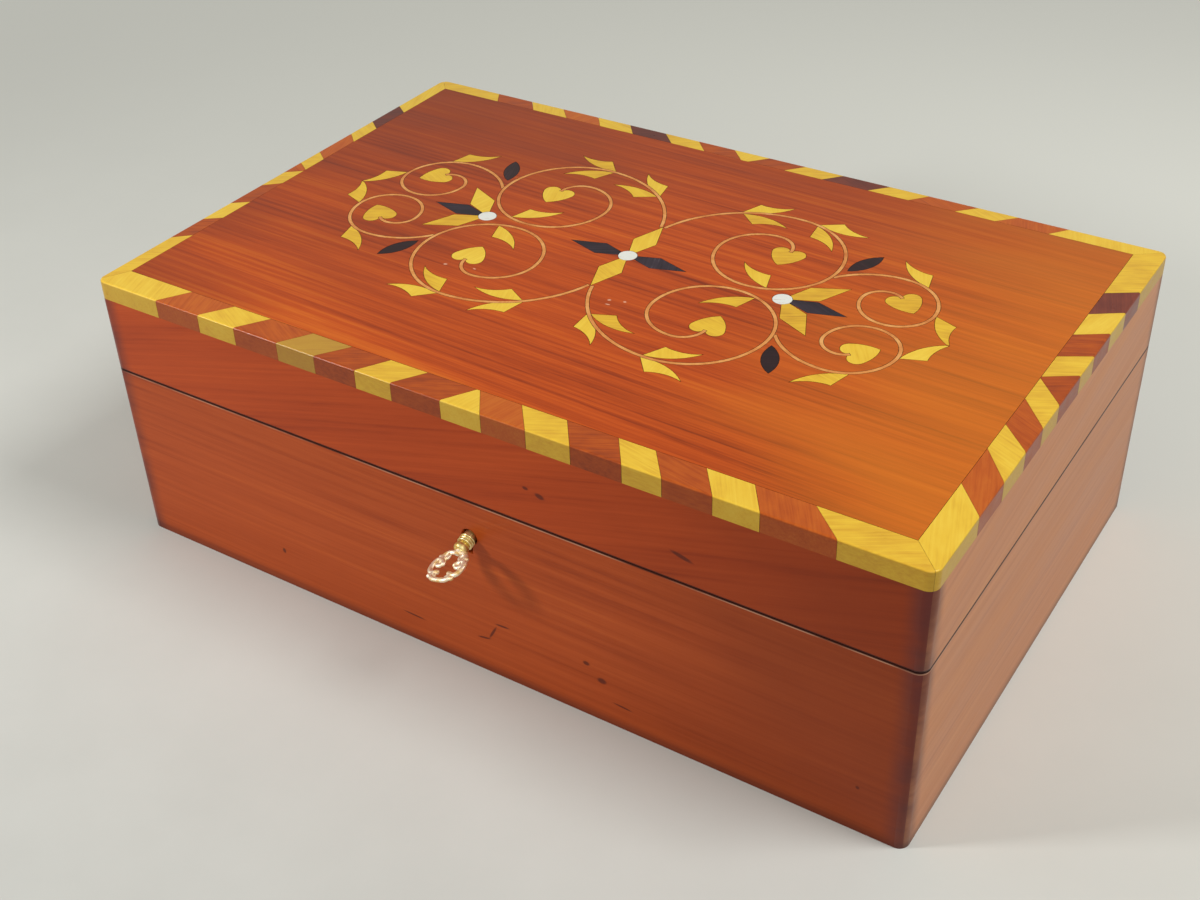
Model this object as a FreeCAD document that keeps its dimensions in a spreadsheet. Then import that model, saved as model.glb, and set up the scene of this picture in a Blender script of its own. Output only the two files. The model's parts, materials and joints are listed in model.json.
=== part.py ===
import FreeCAD, Part
import Sketcher
import math
import os
import re
from types import SimpleNamespace

# A hinged wooden box with a marquetry lid, a box lock and its key.
# Millimetres. +X runs along the front to the right, +Y from the front to the back, +Z up.
# The origin is the middle of the underside, on the surface that the box stands on.

CELLS = {
    # Outside of the box, its walls and its seam
    "box_length": "300",
    "box_width": "192",
    "box_height": "103.4",
    "seam_height": "68.7",
    "seam_gap": "0.3",
    "wall": "10",
    "corner_radius": "3.4",
    "arris_radius": "0.7",
    "base_thickness": "6",
    "base_rebate": "5",
    "joint_gap": "0.1",
    "overrun": "2",
    # Lid top: core board, veneer and block edging
    "front_edging": "10.2",
    "right_edging": "9.7",
    "back_edging": "6.8",
    "left_edging": "6",
    "edging_height": "6.6",
    "glue_line": "0.12",
    "veneer_thickness": "1.2",
    "tongue_width": "4.5",
    "tongue_thickness": "2.6",
    # Marquetry
    "pattern_length": "238",
    "pattern_margin": "31",
    "pattern_shift_x": "-4.4",
    "pattern_shift_y": "6",
    "saw_kerf": "0.15",
    "string_width": "1.15",
    "scroll_radius": "39.5",
    "small_scroll_radius": "26.25",
    "leaf_length": "18",
    "heart_length": "12.6",
    "heart_width": "11.6",
    "bud_length": "15.6",
    "bud_width": "5.5",
    "bud_stand_off": "2.6",
    "pearl_radius": "3.2",
    "flower_spacing": "58.1",
    "light_petal_length": "23",
    "light_petal_width": "8.8",
    "dark_petal_length": "22.4",
    "dark_petal_width": "7.5",
    # Butt hinges
    "hinge_end": "60",
    "hinge_length": "38",
    "knuckle_count": "5",
    "hinge_inset": "1.5",
    "leaf_width": "7.5",
    "leaf_thickness": "1.2",
    "barrel_radius": "2.2",
    "barrel_gap": "0.3",
    "knuckle_gap": "0.2",
    "hinge_pin_radius": "1",
    "running_gap": "0.05",
    "lid_stop_angle": "101",
    # Box lock
    "keyhole_web": "2.8",
    "lock_gap": "0.2",
    "plate_width": "42",
    "plate_height": "25",
    "plate_thickness": "1.2",
    "selvedge_thickness": "1.4",
    "cap_width": "35",
    "cap_height": "21.5",
    "cap_thickness": "1",
    "key_drop": "12.8",
    "keyhole_radius": "3",
    "drill_pin_radius": "0.8",
    "drill_pin_length": "4",
    "stump_radius": "0.9",
    "stump_offset": "5",
    "post_radius": "1",
    # Bolt, spring and link plate
    "bolt_travel": "6.4",
    "bolt_rise": "4.2",
    "bolt_height": "6",
    "bolt_thickness": "2",
    "bolt_length": "15.5",
    "bolt_root": "1",
    "finger_length": "6.4",
    "finger_height": "3",
    "talon_start": "2",
    "talon_width": "5.4",
    "talon_depth": "2.4",
    "slot_gap": "0.2",
    "spring_length": "18",
    "spring_thickness": "0.4",
    "spring_bow": "0.5",
    "link_plate_width": "38",
    "link_plate_depth": "6.6",
    "staple_offset": "9.25",
    "staple_thickness": "2.5",
    "staple_width": "3.9",
    "staple_drop": "9.2",
    "eye_width": "2.6",
    "eye_height": "4",
    "eye_sill": "1.5",
    # Key
    "key_droop": "13.5",
    "key_swing": "1.5",
    "key_tilt": "20",
    "shank_radius": "2.2",
    "shank_bore_radius": "1.4",
    "shank_bore_length": "4.4",
    "shank_end_gap": "0.9",
    "bit_radius": "6.2",
    "bit_thickness": "1.6",
    "bit_width": "2.4",
    "ring_radius": "2.7",
    "ring_land": "0.5",
    "ring_spacing": "1",
    "ring_start": "0.7",
    "neck_radius": "1.6",
    "bulb_radius": "2.4",
    "bulb_length": "2",
    "bow_start": "5.9",
    "bow_length": "12.6",
    "bow_width": "14.2",
    "bow_bar": "1.5",
    "bow_thickness": "1.7",
}

doc = FreeCAD.newDocument("marquetry_box")
sheet = doc.addObject("Spreadsheet::Sheet", "sizes")
for row, (alias, text) in enumerate(CELLS.items(), start=1):
    sheet.set(f"A{row}", alias)
    sheet.set(f"B{row}", text)
    sheet.setAlias(f"B{row}", alias)
doc.recompute()
size = SimpleNamespace(**{alias: float(sheet.get(alias)) for alias in CELLS})

ORIGIN = FreeCAD.Vector(0, 0, 0)
X_AXIS = FreeCAD.Vector(1, 0, 0)
Y_AXIS = FreeCAD.Vector(0, 1, 0)
Z_AXIS = FreeCAD.Vector(0, 0, 1)
ALONG_Z = FreeCAD.Rotation()
ALONG_X = FreeCAD.Rotation(Y_AXIS, 90)
ABOUT_X = FreeCAD.Rotation(X_AXIS, 1)
TO_FRONT = FreeCAD.Rotation(X_AXIS, 90)

parts = []


def formula(text):
    """Words that are aliases become references to the sheet."""
    return re.sub(r"[a-z_]+", lambda word: f"sizes.{word[0]}" if word[0] in CELLS else word[0], text)


def bind(thing, **expressions):
    for name, text in expressions.items():
        thing.setExpression(name, formula(text))


def place(thing, corner, rotation=ALONG_Z):
    thing.Placement.Rotation = rotation
    for letter, text in zip("xyz", corner):
        thing.setExpression(f"Placement.Base.{letter}", formula(text))


def finish(thing, label):
    """The piece is a sub-part, and its label names its file."""
    thing.Label = label
    parts.append(thing)
    return thing


# Solids bound to the sheet

def block(name, corner, length, width, height, rotation=ALONG_Z):
    solid = doc.addObject("Part::Box", name)
    bind(solid, Length=length, Width=width, Height=height)
    place(solid, corner, rotation)
    return solid


def rod(name, start, radius, length, rotation=ALONG_Z):
    solid = doc.addObject("Part::Cylinder", name)
    bind(solid, Radius=radius, Height=length)
    place(solid, start, rotation)
    return solid


def cut(name, base, tools):
    for tool in tools:
        result = doc.addObject("Part::Cut", name)
        result.Base = base
        result.Tool = tool
        base = result
    return base


def fuse(name, solids):
    result = doc.addObject("Part::MultiFuse", name)
    result.Shapes = solids
    result.Refine = True
    return result


def common(name, first, second):
    result = doc.addObject("Part::Common", name)
    result.Base = first
    result.Tool = second
    return result


def group(label, solids):
    result = doc.addObject("Part::Compound", label)
    result.Links = solids
    return finish(result, label)


def straight_sketch(body, name, role, lift, corners):
    """A closed straight-sided sketch on an origin plane, each corner bound to the sheet."""
    sketch = body.newObject("Sketcher::SketchObject", name)
    plane = next(item for item in body.Origin.OriginFeatures if item.Role == role)
    sketch.AttachmentSupport = [(plane, "")]
    sketch.MapMode = "FlatFace"
    sketch.setExpression("AttachmentOffset.Base.z", formula(lift))
    count = len(corners)
    ring = [FreeCAD.Rotation(Z_AXIS, 360 * i / count).multVec(X_AXIS) for i in range(count)]
    for i in range(count):
        sketch.addGeometry(Part.LineSegment(ring[i], ring[(i + 1) % count]))
    for i in range(count):
        sketch.addConstraint(Sketcher.Constraint("Coincident", i, 2, (i + 1) % count, 1))
    for i, (across, up) in enumerate(corners):
        for kind, text, start in (("DistanceX", across, ring[i].x), ("DistanceY", up, ring[i].y)):
            index = sketch.addConstraint(Sketcher.Constraint(kind, -1, 1, i, 1, start))
            sketch.setExpression(f"Constraints[{index}]", formula(text))
    return sketch


def rectangle(left, right, low, high):
    return [(left, low), (right, low), (right, high), (left, high)]


def pad(body, sketch, length):
    feature = body.newObject("PartDesign::Pad", sketch.Name + "_pad")
    feature.Profile = sketch
    feature.setExpression("Length", formula(length))
    return feature


def pocket(body, sketch, length, reversed_cut=False):
    feature = body.newObject("PartDesign::Pocket", sketch.Name + "_pocket")
    feature.Profile = sketch
    feature.setExpression("Length", formula(length))
    feature.Reversed = reversed_cut
    return feature


def fillet(body, base, radius, chosen):
    """Rounds the edges of the feature that the test picks out."""
    doc.recompute()
    names = [f"Edge{i}" for i, edge in enumerate(base.Shape.Edges, start=1) if chosen(edge)]
    feature = body.newObject("PartDesign::Fillet", base.Name + "_fillet")
    feature.Base = (base, names)
    feature.setExpression("Radius", formula(radius))
    return feature


# Places that several pieces share

LID_FOOT = "seam_height + seam_gap"
LID_WALL_TOP = "box_height - edging_height"
CORE_TOP = "box_height - veneer_thickness"
HINGE_Y = "box_width / 2 - hinge_inset"
HINGE_Z = "seam_height + seam_gap / 2"
PLATE_Y = "-box_width / 2 + wall - plate_thickness"
CAP_Y = "-box_width / 2 + keyhole_web + lock_gap"
SELVEDGE_Z = "seam_height - selvedge_thickness"
KEY_Z = "seam_height - key_drop"
CASE_DEPTH = "(wall - plate_thickness - keyhole_web - lock_gap)"
CASE_MIDDLE_Y = f"{PLATE_Y} - ({CASE_DEPTH} - cap_thickness) / 2"
BOLT_Y = f"{CASE_MIDDLE_Y} - bolt_thickness / 2"
BOLT_Z = f"{KEY_Z} + bolt_rise"
FINGER_Z = f"{BOLT_Z} + bolt_height / 2 - finger_height / 2"
# The key leans in its worn hole, down and to the right, about the middle of the stretch of drill
# pin that it covers.
PIVOT_Y = f"{PLATE_Y} - (shank_end_gap + drill_pin_length) / 2"
KEY_DROOP_SLOPE = "tan(key_droop * 1 deg) / cos(key_swing * 1 deg)"

# Each side of the box: its name, its length, the turn and the middle of its outer face
SIDES = {
    "front": ("box_length", 0, ("0", "-box_width / 2", "0")),
    "right": ("box_width", 90, ("box_length / 2", "0", "0")),
    "back": ("box_length", 180, ("0", "box_width / 2", "0")),
    "left": ("box_width", 270, ("-box_length / 2", "0", "0")),
}


# Outer form: the whole box as one rounded block, which trims every board and edging block

def is_upright(edge):
    return edge.BoundBox.ZLength > size.box_height - size.joint_gap


def is_on_top(edge):
    return edge.BoundBox.ZMin > size.box_height - size.joint_gap


def make_outer_form():
    body = doc.addObject("PartDesign::Body", "outer_form")
    plan = straight_sketch(body, "outer_plan", "XY_Plane", "0", rectangle(
        "-box_length / 2", "box_length / 2", "-box_width / 2", "box_width / 2"))
    blank = pad(body, plan, "box_height")
    corners = fillet(body, blank, "corner_radius", is_upright)
    fillet(body, corners, "arris_radius", is_on_top)
    doc.recompute()
    return body


def mitred_board(name, side, foot, height):
    """A wall board, mitred at both ends and rounded with the box's upright corners."""
    length, turn, middle = SIDES[side]
    blank = doc.addObject("Part::Wedge", name + "_blank")
    half = f"{length} / 2"
    bind(blank, Xmin=f"-{half}", Xmax=half, X2min=f"wall - {half}", X2max=f"{half} - wall",
         Ymin="0", Ymax="wall", Zmin=foot, Z2min=foot, Zmax=f"{foot} + {height}", Z2max=f"{foot} + {height}")
    place(blank, middle, FreeCAD.Rotation(Z_AXIS, turn))
    return common(name + "_rounded", blank, outer_form)


# Hinges

def hinge_middle(sign):
    return f"{sign} * (box_length / 2 - hinge_end)"


def hinge_leaf(label, sign, level, knuckles):
    """One leaf: its plate, the webs and knuckles that wrap the pin, and their bore."""
    start = f"{hinge_middle(sign)} - hinge_length / 2"
    plate = block(label + "_plate", (start, f"{HINGE_Y} - leaf_width", level), "hinge_length",
                  "leaf_width - barrel_radius - barrel_gap", "leaf_thickness")
    solids = [plate]
    for i in knuckles:
        knuckle_start = f"{start} + {i} * hinge_length / knuckle_count + knuckle_gap / 2"
        solids.append(block(f"{label}_web_{i}", (knuckle_start, f"{HINGE_Y} - leaf_width / 2", level),
                            "hinge_length / knuckle_count - knuckle_gap", "leaf_width / 2", "leaf_thickness"))
        solids.append(rod(f"{label}_knuckle_{i}", (knuckle_start, HINGE_Y, HINGE_Z), "barrel_radius",
                          "hinge_length / knuckle_count - knuckle_gap", ALONG_X))
    bore = rod(label + "_bore", (f"{start} - overrun", HINGE_Y, HINGE_Z), "hinge_pin_radius + running_gap",
               "hinge_length + 2 * overrun", ALONG_X)
    finish(cut(label + "_leaf", fuse(label + "_solid", solids), [bore]), label)


def hinge_recesses(name, level, thickness):
    """Room for the leaves and barrels in the edge of a back board."""
    tools = []
    for sign in (-1, 1):
        start = f"{hinge_middle(sign)} - hinge_length / 2 - joint_gap"
        tools.append(block(f"{name}_gain_{sign}", (start, f"{HINGE_Y} - leaf_width - joint_gap", level),
                           "hinge_length + 2 * joint_gap", "leaf_width", thickness))
        tools.append(rod(f"{name}_trough_{sign}", (start, HINGE_Y, HINGE_Z), "barrel_radius + barrel_gap",
                         "hinge_length + 2 * joint_gap", ALONG_X))
    return tools


def stop_bevel(name, drop, turn):
    """Takes off a back arris in a plane through the hinge axis, where the open lid comes to rest."""
    tool = block(name, ("-box_length / 2 - overrun", HINGE_Y, HINGE_Z), "box_length + 2 * overrun",
                 "2 * overrun", "2 * overrun", ABOUT_X)
    tool.setExpression("Placement.Rotation.Angle", formula(f"{turn} * lid_stop_angle / 2"))
    if drop:
        bind(tool, Height="overrun")
        angle = "lid_stop_angle / 2 * 1 deg"
        tool.setExpression("Placement.Base.y", formula(f"{HINGE_Y} + overrun * sin({angle})"))
        tool.setExpression("Placement.Base.z", formula(f"{HINGE_Z} - overrun * cos({angle})"))
    return tool


# Carcase

def keyhole(name, front, depth, middle):
    """A round hole about the leaning key, with a slot below it for the bit."""
    reach = f"({PIVOT_Y} - ({middle}))"
    centre_x = f"{reach} * tan(key_swing * 1 deg)"
    centre_z = f"{KEY_Z} - {reach} * {KEY_DROOP_SLOPE}"
    hole = rod(name + "_round", (centre_x, f"{front} + {depth}", centre_z), "keyhole_radius", depth, TO_FRONT)
    slot = block(name + "_slot", (f"{centre_x} - bit_thickness / 2 - lock_gap", front,
                                  f"{centre_z} - bit_radius - lock_gap"),
                 "bit_thickness + 2 * lock_gap", depth, "bit_radius")
    return [hole, slot]


def make_carcase():
    base_room = block("base_room", ("wall - base_rebate - box_length / 2",
                                    "wall - base_rebate - box_width / 2", "0"),
                      "box_length - 2 * (wall - base_rebate)", "box_width - 2 * (wall - base_rebate)",
                      "base_thickness")
    blanks = {}
    for side in SIDES:
        board = mitred_board(side, side, "0", "seam_height")
        blanks[side] = cut(f"{side}_rebated", board, [base_room])
    bevel = stop_bevel("carcase_bevel", False, "-1")
    finish(cut("left_end_cut", blanks["left"], [bevel]), "left_end")
    finish(cut("right_end_cut", blanks["right"], [bevel]), "right_end")

    gains = hinge_recesses("carcase", "seam_height - leaf_thickness", "leaf_thickness + overrun")
    finish(cut("back_cut", blanks["back"], gains + [bevel]), "back_board")
    for name, sign in (("left", -1), ("right", 1)):
        hinge_leaf(f"{name}_hinge_lower_leaf", sign, "seam_height - leaf_thickness", (0, 2, 4))
        pin = rod(f"{name}_pin", (f"{hinge_middle(sign)} - hinge_length / 2", HINGE_Y, HINGE_Z),
                  "hinge_pin_radius", "hinge_length", ALONG_X)
        finish(pin, f"{name}_hinge_pin")

    plate_room = block("plate_room", ("-plate_width / 2 - lock_gap", PLATE_Y,
                                      "seam_height - plate_height - lock_gap"),
                       "plate_width + 2 * lock_gap", "plate_thickness + overrun",
                       "plate_height + lock_gap + overrun")
    case_room = block("case_room", ("-cap_width / 2 - lock_gap", f"{CAP_Y} - lock_gap",
                                    f"{SELVEDGE_Z} - cap_height - lock_gap"),
                      "cap_width + 2 * lock_gap", f"{CASE_DEPTH} + lock_gap + overrun",
                      "cap_height + lock_gap + selvedge_thickness + overrun")
    selvedge_room = block("selvedge_room", ("-plate_width / 2 - lock_gap", f"{CAP_Y} - lock_gap", SELVEDGE_Z),
                          "plate_width + 2 * lock_gap", f"{CASE_DEPTH} + lock_gap + overrun",
                          "selvedge_thickness + overrun")
    hole = keyhole("front_keyhole", "-box_width / 2 - overrun", "keyhole_web + lock_gap + 2 * overrun",
                   "keyhole_web / 2 - box_width / 2")
    rooms = [plate_room, case_room, selvedge_room]
    finish(cut("front_cut", blanks["front"], rooms + hole), "front_board")

    floor = block("base_panel", ("joint_gap + wall - base_rebate - box_length / 2",
                                 "joint_gap + wall - base_rebate - box_width / 2", "0"),
                  "box_length - 2 * (wall - base_rebate + joint_gap)",
                  "box_width - 2 * (wall - base_rebate + joint_gap)", "base_thickness")
    finish(floor, "base_board")


# Lock: everything stands on the plate, which is let into the inside of the front board

POST_SPOTS = [(f"{end} * (cap_width / 2 - cap_thickness - post_radius - lock_gap)",
               f"{SELVEDGE_Z} - cap_height + cap_thickness + post_radius + lock_gap") for end in (-1, 1)]
STUMP_SPOT = ("stump_offset", f"{BOLT_Z} + bolt_height - stump_radius - slot_gap - spring_thickness")


def lock_pin(name, spot, radius, start, length):
    return rod(name, (spot[0], start, spot[1]), radius, length, TO_FRONT)


def make_lock():
    back = f"{PLATE_Y} + plate_thickness"
    full = f"{CASE_DEPTH} + plate_thickness"
    posts = [lock_pin(f"post_{i}", spot, "post_radius", back, full) for i, spot in enumerate(POST_SPOTS)]
    group("lock_posts", posts)
    drill_pin = lock_pin("drill_pin_rod", ("0", KEY_Z), "drill_pin_radius", back,
                         "plate_thickness + drill_pin_length")
    finish(drill_pin, "drill_pin")
    stump = lock_pin("stump_rod", STUMP_SPOT, "stump_radius", back, f"{full} - cap_thickness - slot_gap")
    finish(stump, "bolt_stump")
    pin_holes = [lock_pin(f"post_hole_{i}", spot, "post_radius + running_gap", f"{back} + overrun",
                          f"{full} + 2 * overrun") for i, spot in enumerate(POST_SPOTS)]
    through = "plate_thickness + 2 * overrun"
    plate_holes = [lock_pin("drill_pin_hole", ("0", KEY_Z), "drill_pin_radius + running_gap",
                            f"{back} + overrun", through),
                   lock_pin("stump_hole", STUMP_SPOT, "stump_radius + running_gap",
                            f"{back} + overrun", through)]

    body = doc.addObject("PartDesign::Body", "lock_plate_body")
    face = straight_sketch(body, "plate_face", "XZ_Plane", f"-({back})", rectangle(
        "-plate_width / 2", "plate_width / 2", "seam_height - plate_height", "seam_height"))
    pad(body, face, "plate_thickness")
    selvedge = straight_sketch(body, "selvedge_plan", "XY_Plane", SELVEDGE_Z, rectangle(
        "-plate_width / 2", "plate_width / 2", CAP_Y, back))
    pad(body, selvedge, "selvedge_thickness")
    doc.recompute()
    slot = straight_sketch(body, "staple_slot", "XY_Plane", "seam_height", rectangle(
        "-staple_offset - staple_thickness / 2 - lock_gap", "lock_gap + staple_thickness / 2 - staple_offset",
        f"{CASE_MIDDLE_Y} - staple_width / 2 - seam_gap", f"{CASE_MIDDLE_Y} + staple_width / 2"))
    pocket(body, slot, "selvedge_thickness")
    finish(cut("plate_cut", body, pin_holes + plate_holes), "lock_plate")

    tray = block("cap_blank", ("-cap_width / 2", CAP_Y, f"{SELVEDGE_Z} - cap_height"),
                 "cap_width", CASE_DEPTH, "cap_height")
    hollow = block("cap_hollow", ("cap_thickness - cap_width / 2", f"{CAP_Y} + cap_thickness",
                                  f"{SELVEDGE_Z} - cap_height + cap_thickness"),
                   "cap_width - 2 * cap_thickness", CASE_DEPTH, "cap_height")
    hole = keyhole("cap_keyhole", f"{CAP_Y} - overrun", "cap_thickness + overrun + lock_gap",
                   f"{CAP_Y} + cap_thickness / 2")
    finish(cut("cap_cut", tray, [hollow] + hole + pin_holes), "lock_cap")


def make_bolt():
    """The bolt: a bar with a talon for the bit, a slot for the stump and a finger for the staple."""
    body = doc.addObject("PartDesign::Body", "bolt_body")
    low = BOLT_Z
    high = f"{BOLT_Z} + bolt_height"
    end = "bolt_length - bolt_root"
    talon_top = f"{BOLT_Z} + talon_depth"
    finger_tip = "-bolt_root - finger_length"
    outline = [
        ("-bolt_root", low), ("talon_start", low), ("talon_start", talon_top),
        ("talon_start + talon_width", talon_top), ("talon_start + talon_width", low), (end, low), (end, high),
        ("-bolt_root", high), ("-bolt_root", f"{FINGER_Z} + finger_height"),
        (finger_tip, f"{FINGER_Z} + finger_height"), (finger_tip, FINGER_Z), ("-bolt_root", FINGER_Z),
    ]
    bar = straight_sketch(body, "bolt_outline", "XZ_Plane", f"-({BOLT_Y} + bolt_thickness)", outline)
    pad(body, bar, "bolt_thickness")
    slot = block("bolt_slot", (f"{STUMP_SPOT[0]} - stump_radius - slot_gap", f"{BOLT_Y} - overrun",
                               f"{STUMP_SPOT[1]} - stump_radius - slot_gap"),
                 "bolt_travel + 2 * (stump_radius + slot_gap)", "bolt_thickness + 2 * overrun",
                 "2 * (stump_radius + slot_gap)")
    finish(cut("bolt_cut", body, [slot]), "lock_bolt")


def make_spring():
    """A bowed strip between the bolt and the selvedge, which steadies the bolt."""
    radius = "(spring_length * spring_length / 8 / spring_bow)"
    top = f"{SELVEDGE_Z} - slot_gap / 2"
    middle = "(bolt_length / 2 - bolt_root)"
    back = f"{BOLT_Y} + bolt_thickness"
    bend = f"{SELVEDGE_Z} - slot_gap - spring_thickness - spring_bow + {radius} + spring_thickness"
    outer = rod("spring_outside", (middle, back, bend), f"{radius} + spring_thickness", "bolt_thickness",
                TO_FRONT)
    inner = rod("spring_inside", (middle, f"{back} + overrun", bend), radius, "bolt_thickness + 2 * overrun",
                TO_FRONT)
    window = block("spring_window", (f"{middle} - spring_length / 2", BOLT_Y, f"{SELVEDGE_Z} - bolt_height"),
                   "spring_length", "bolt_thickness", f"{top} - ({SELVEDGE_Z} - bolt_height)")
    finish(common("spring_strip", cut("spring_ring", outer, [inner]), window), "bolt_spring")


# Lid

def make_lid():
    rabbet = block("core_room", ("wall - tongue_width - box_length / 2",
                                 "wall - tongue_width - box_width / 2",
                                 f"{LID_WALL_TOP} - tongue_thickness"),
                   "box_length - 2 * (wall - tongue_width)", "box_width - 2 * (wall - tongue_width)",
                   "tongue_thickness + overrun")
    height = f"{LID_WALL_TOP} - ({LID_FOOT})"
    blanks = {}
    for side in SIDES:
        board = mitred_board(f"lid_{side}", side, LID_FOOT, height)
        blanks[side] = cut(f"lid_{side}_rebated", board, [rabbet])
    bevel = stop_bevel("lid_bevel", True, "1")
    finish(cut("lid_left_end_cut", blanks["left"], [bevel]), "lid_left_end")
    finish(cut("lid_right_end_cut", blanks["right"], [bevel]), "lid_right_end")

    gains = hinge_recesses("lid", f"{LID_FOOT} - overrun", "leaf_thickness + overrun")
    finish(cut("lid_back_cut", blanks["back"], gains + [bevel]), "lid_back")
    for name, sign in (("left", -1), ("right", 1)):
        hinge_leaf(f"{name}_hinge_upper_leaf", sign, LID_FOOT, (1, 3))

    link_y = f"{CASE_MIDDLE_Y} - link_plate_depth / 2"
    link_room = block("link_room", ("-link_plate_width / 2 - lock_gap", f"{link_y} - lock_gap",
                                    f"{LID_FOOT} - overrun"),
                      "link_plate_width + 2 * lock_gap", "link_plate_depth + 2 * lock_gap",
                      "selvedge_thickness + overrun")
    finish(cut("lid_front_cut", blanks["front"], [link_room]), "lid_front")
    link = block("link_blank", ("-link_plate_width / 2", link_y, LID_FOOT), "link_plate_width",
                 "link_plate_depth", "selvedge_thickness")
    staple = block("staple_blank", ("-staple_offset - staple_thickness / 2",
                                    f"{CASE_MIDDLE_Y} - staple_width / 2",
                                    f"{LID_FOOT} - staple_drop"),
                   "staple_thickness", "staple_width", "staple_drop + selvedge_thickness")
    eye = block("staple_eye", ("-staple_offset - staple_thickness", f"{CASE_MIDDLE_Y} - eye_width / 2",
                               f"{LID_FOOT} - staple_drop + eye_sill"),
                "2 * staple_thickness", "eye_width", "eye_height")
    finish(cut("link_cut", fuse("link_solid", [link, staple]), [eye]), "link_plate")

    tongue = block("core_tongue", ("joint_gap + wall - tongue_width - box_length / 2",
                                   "joint_gap + wall - tongue_width - box_width / 2",
                                   f"{LID_WALL_TOP} - tongue_thickness"),
                   "box_length - 2 * (wall - tongue_width + joint_gap)",
                   "box_width - 2 * (wall - tongue_width + joint_gap)", "tongue_thickness")
    core = block("core_panel", ("left_edging + glue_line - box_length / 2",
                                "front_edging + glue_line - box_width / 2",
                                f"{LID_WALL_TOP} - tongue_thickness"),
                 "box_length - left_edging - right_edging - 2 * glue_line",
                 "box_width - front_edging - back_edging - 2 * glue_line",
                 f"{CORE_TOP} - ({LID_WALL_TOP}) + tongue_thickness")
    finish(fuse("core_solid", [tongue, core]), "lid_board")


# Block edging: slanted blocks of light and red wood round the lid's top, mitred at the corners

# Joints between blocks, as shares of each side from its left end seen from outside: along the
# outer edge of the lid and along the inner edge of the band
FRONT_OUTER_SHARES = (0.092, 0.154, 0.206, 0.266, 0.317, 0.371, 0.417, 0.479,
                      0.528, 0.581, 0.632, 0.689, 0.732, 0.785, 0.833, 0.908)
FRONT_INNER_SHARES = (0.114, 0.177, 0.229, 0.288, 0.341, 0.392, 0.439, 0.500,
                      0.504, 0.554, 0.607, 0.665, 0.706, 0.760, 0.810, 0.871)
RIGHT_OUTER_SHARES = (0.143, 0.234, 0.318, 0.388, 0.457, 0.551, 0.615, 0.693,
                      0.768, 0.844)
RIGHT_INNER_SHARES = (0.202, 0.299, 0.370, 0.449, 0.514, 0.519, 0.586, 0.661,
                      0.734, 0.812)
BACK_OUTER_SHARES = (0.111, 0.170, 0.219, 0.280, 0.330, 0.391, 0.442, 0.491,
                     0.544, 0.595, 0.644, 0.697, 0.746, 0.801, 0.851, 0.905)
BACK_INNER_SHARES = (0.129, 0.192, 0.241, 0.299, 0.351, 0.411, 0.462, 0.512,
                     0.522, 0.574, 0.622, 0.679, 0.729, 0.781, 0.834, 0.892)
LEFT_OUTER_SHARES = (0.154, 0.242, 0.310, 0.407, 0.464, 0.516, 0.581, 0.666,
                     0.740, 0.822)
LEFT_INNER_SHARES = (0.177, 0.267, 0.339, 0.431, 0.485, 0.491, 0.552, 0.642,
                     0.716, 0.794)
JOINT_SHARES = {
    "front": (FRONT_OUTER_SHARES, FRONT_INNER_SHARES),
    "right": (RIGHT_OUTER_SHARES, RIGHT_INNER_SHARES),
    "back": (BACK_OUTER_SHARES, BACK_INNER_SHARES),
    "left": (LEFT_OUTER_SHARES, LEFT_INNER_SHARES),
}
# Blocks of dark wood, counted from the left end of each side seen from outside
DARK_BLOCKS = {"front": (), "right": (9,), "back": (5, 11), "left": (1,)}


def edging_joints(side):
    """The joints of a side whose outer edge lies on the X axis, middle at the origin."""
    names = list(SIDES)
    before = names[names.index(side) - 1]
    after = names[(names.index(side) + 1) % len(names)]
    length = getattr(size, SIDES[side][0])
    deep = getattr(size, f"{side}_edging")
    ends = [(-length / 2, getattr(size, f"{before}_edging") - length / 2)]
    for outer, inner in zip(*JOINT_SHARES[side]):
        ends.append(((outer - 1 / 2) * length, (inner - 1 / 2) * length))
    ends.append((length / 2, length / 2 - getattr(size, f"{after}_edging")))
    return ends, deep


def make_edging():
    dark = []
    half_line = size.glue_line / 2
    rise = FreeCAD.Vector(0, 0, size.edging_height)
    for side, (_, turn, _) in SIDES.items():
        joints, deep = edging_joints(side)
        reach = size.box_width if side in ("front", "back") else size.box_length
        spot = FreeCAD.Vector(0, -reach / 2, size.box_height - size.edging_height)
        woods = {"light": [], "red": []}
        for i, (start, end) in enumerate(zip(joints, joints[1:])):
            corners = [FreeCAD.Vector(x, y, 0) for x, y in (
                (start[0] + half_line, 0), (end[0] - half_line, 0), (end[1] - half_line, deep),
                (start[1] + half_line, deep))]
            solid = Part.Face(Part.makePolygon(corners + corners[:1])).extrude(rise)
            solid.translate(spot)
            solid.rotate(ORIGIN, Z_AXIS, turn)
            trimmed = solid.common(outer_form.Shape).Solids[0]
            if i in DARK_BLOCKS[side]:
                dark.append(trimmed)
            else:
                woods["red" if i % 2 else "light"].append(trimmed)
        for wood, solids in woods.items():
            add_solids(f"{side}_{wood}_blocks", solids)
    add_solids("dark_blocks", dark)


def add_solids(label, solids):
    feature = doc.addObject("Part::Feature", label)
    feature.Shape = Part.makeCompound(solids)
    return finish(feature, label)


# Marquetry: every inlay is drawn in the quarter that lies right of and behind the centre flower,
# then mirrored. Scrolls wind clockwise on arcs that grow tighter at each quarter turn.

SCROLL_SHARES = (1.0, 0.684, 0.572, 0.504, 0.380, 0.203)
SCROLL_TURNS = (164, 90, 0, -90, -180, -270, -360)
SMALL_SCROLL_SHARES = (1.0, 0.648, 0.472, 0.465, 0.274, 0.229)
SMALL_SCROLL_TURNS = (143, 90, 0, -90, -180, -270, -315)
SMALL_SCROLL_SEAT = -10
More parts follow.
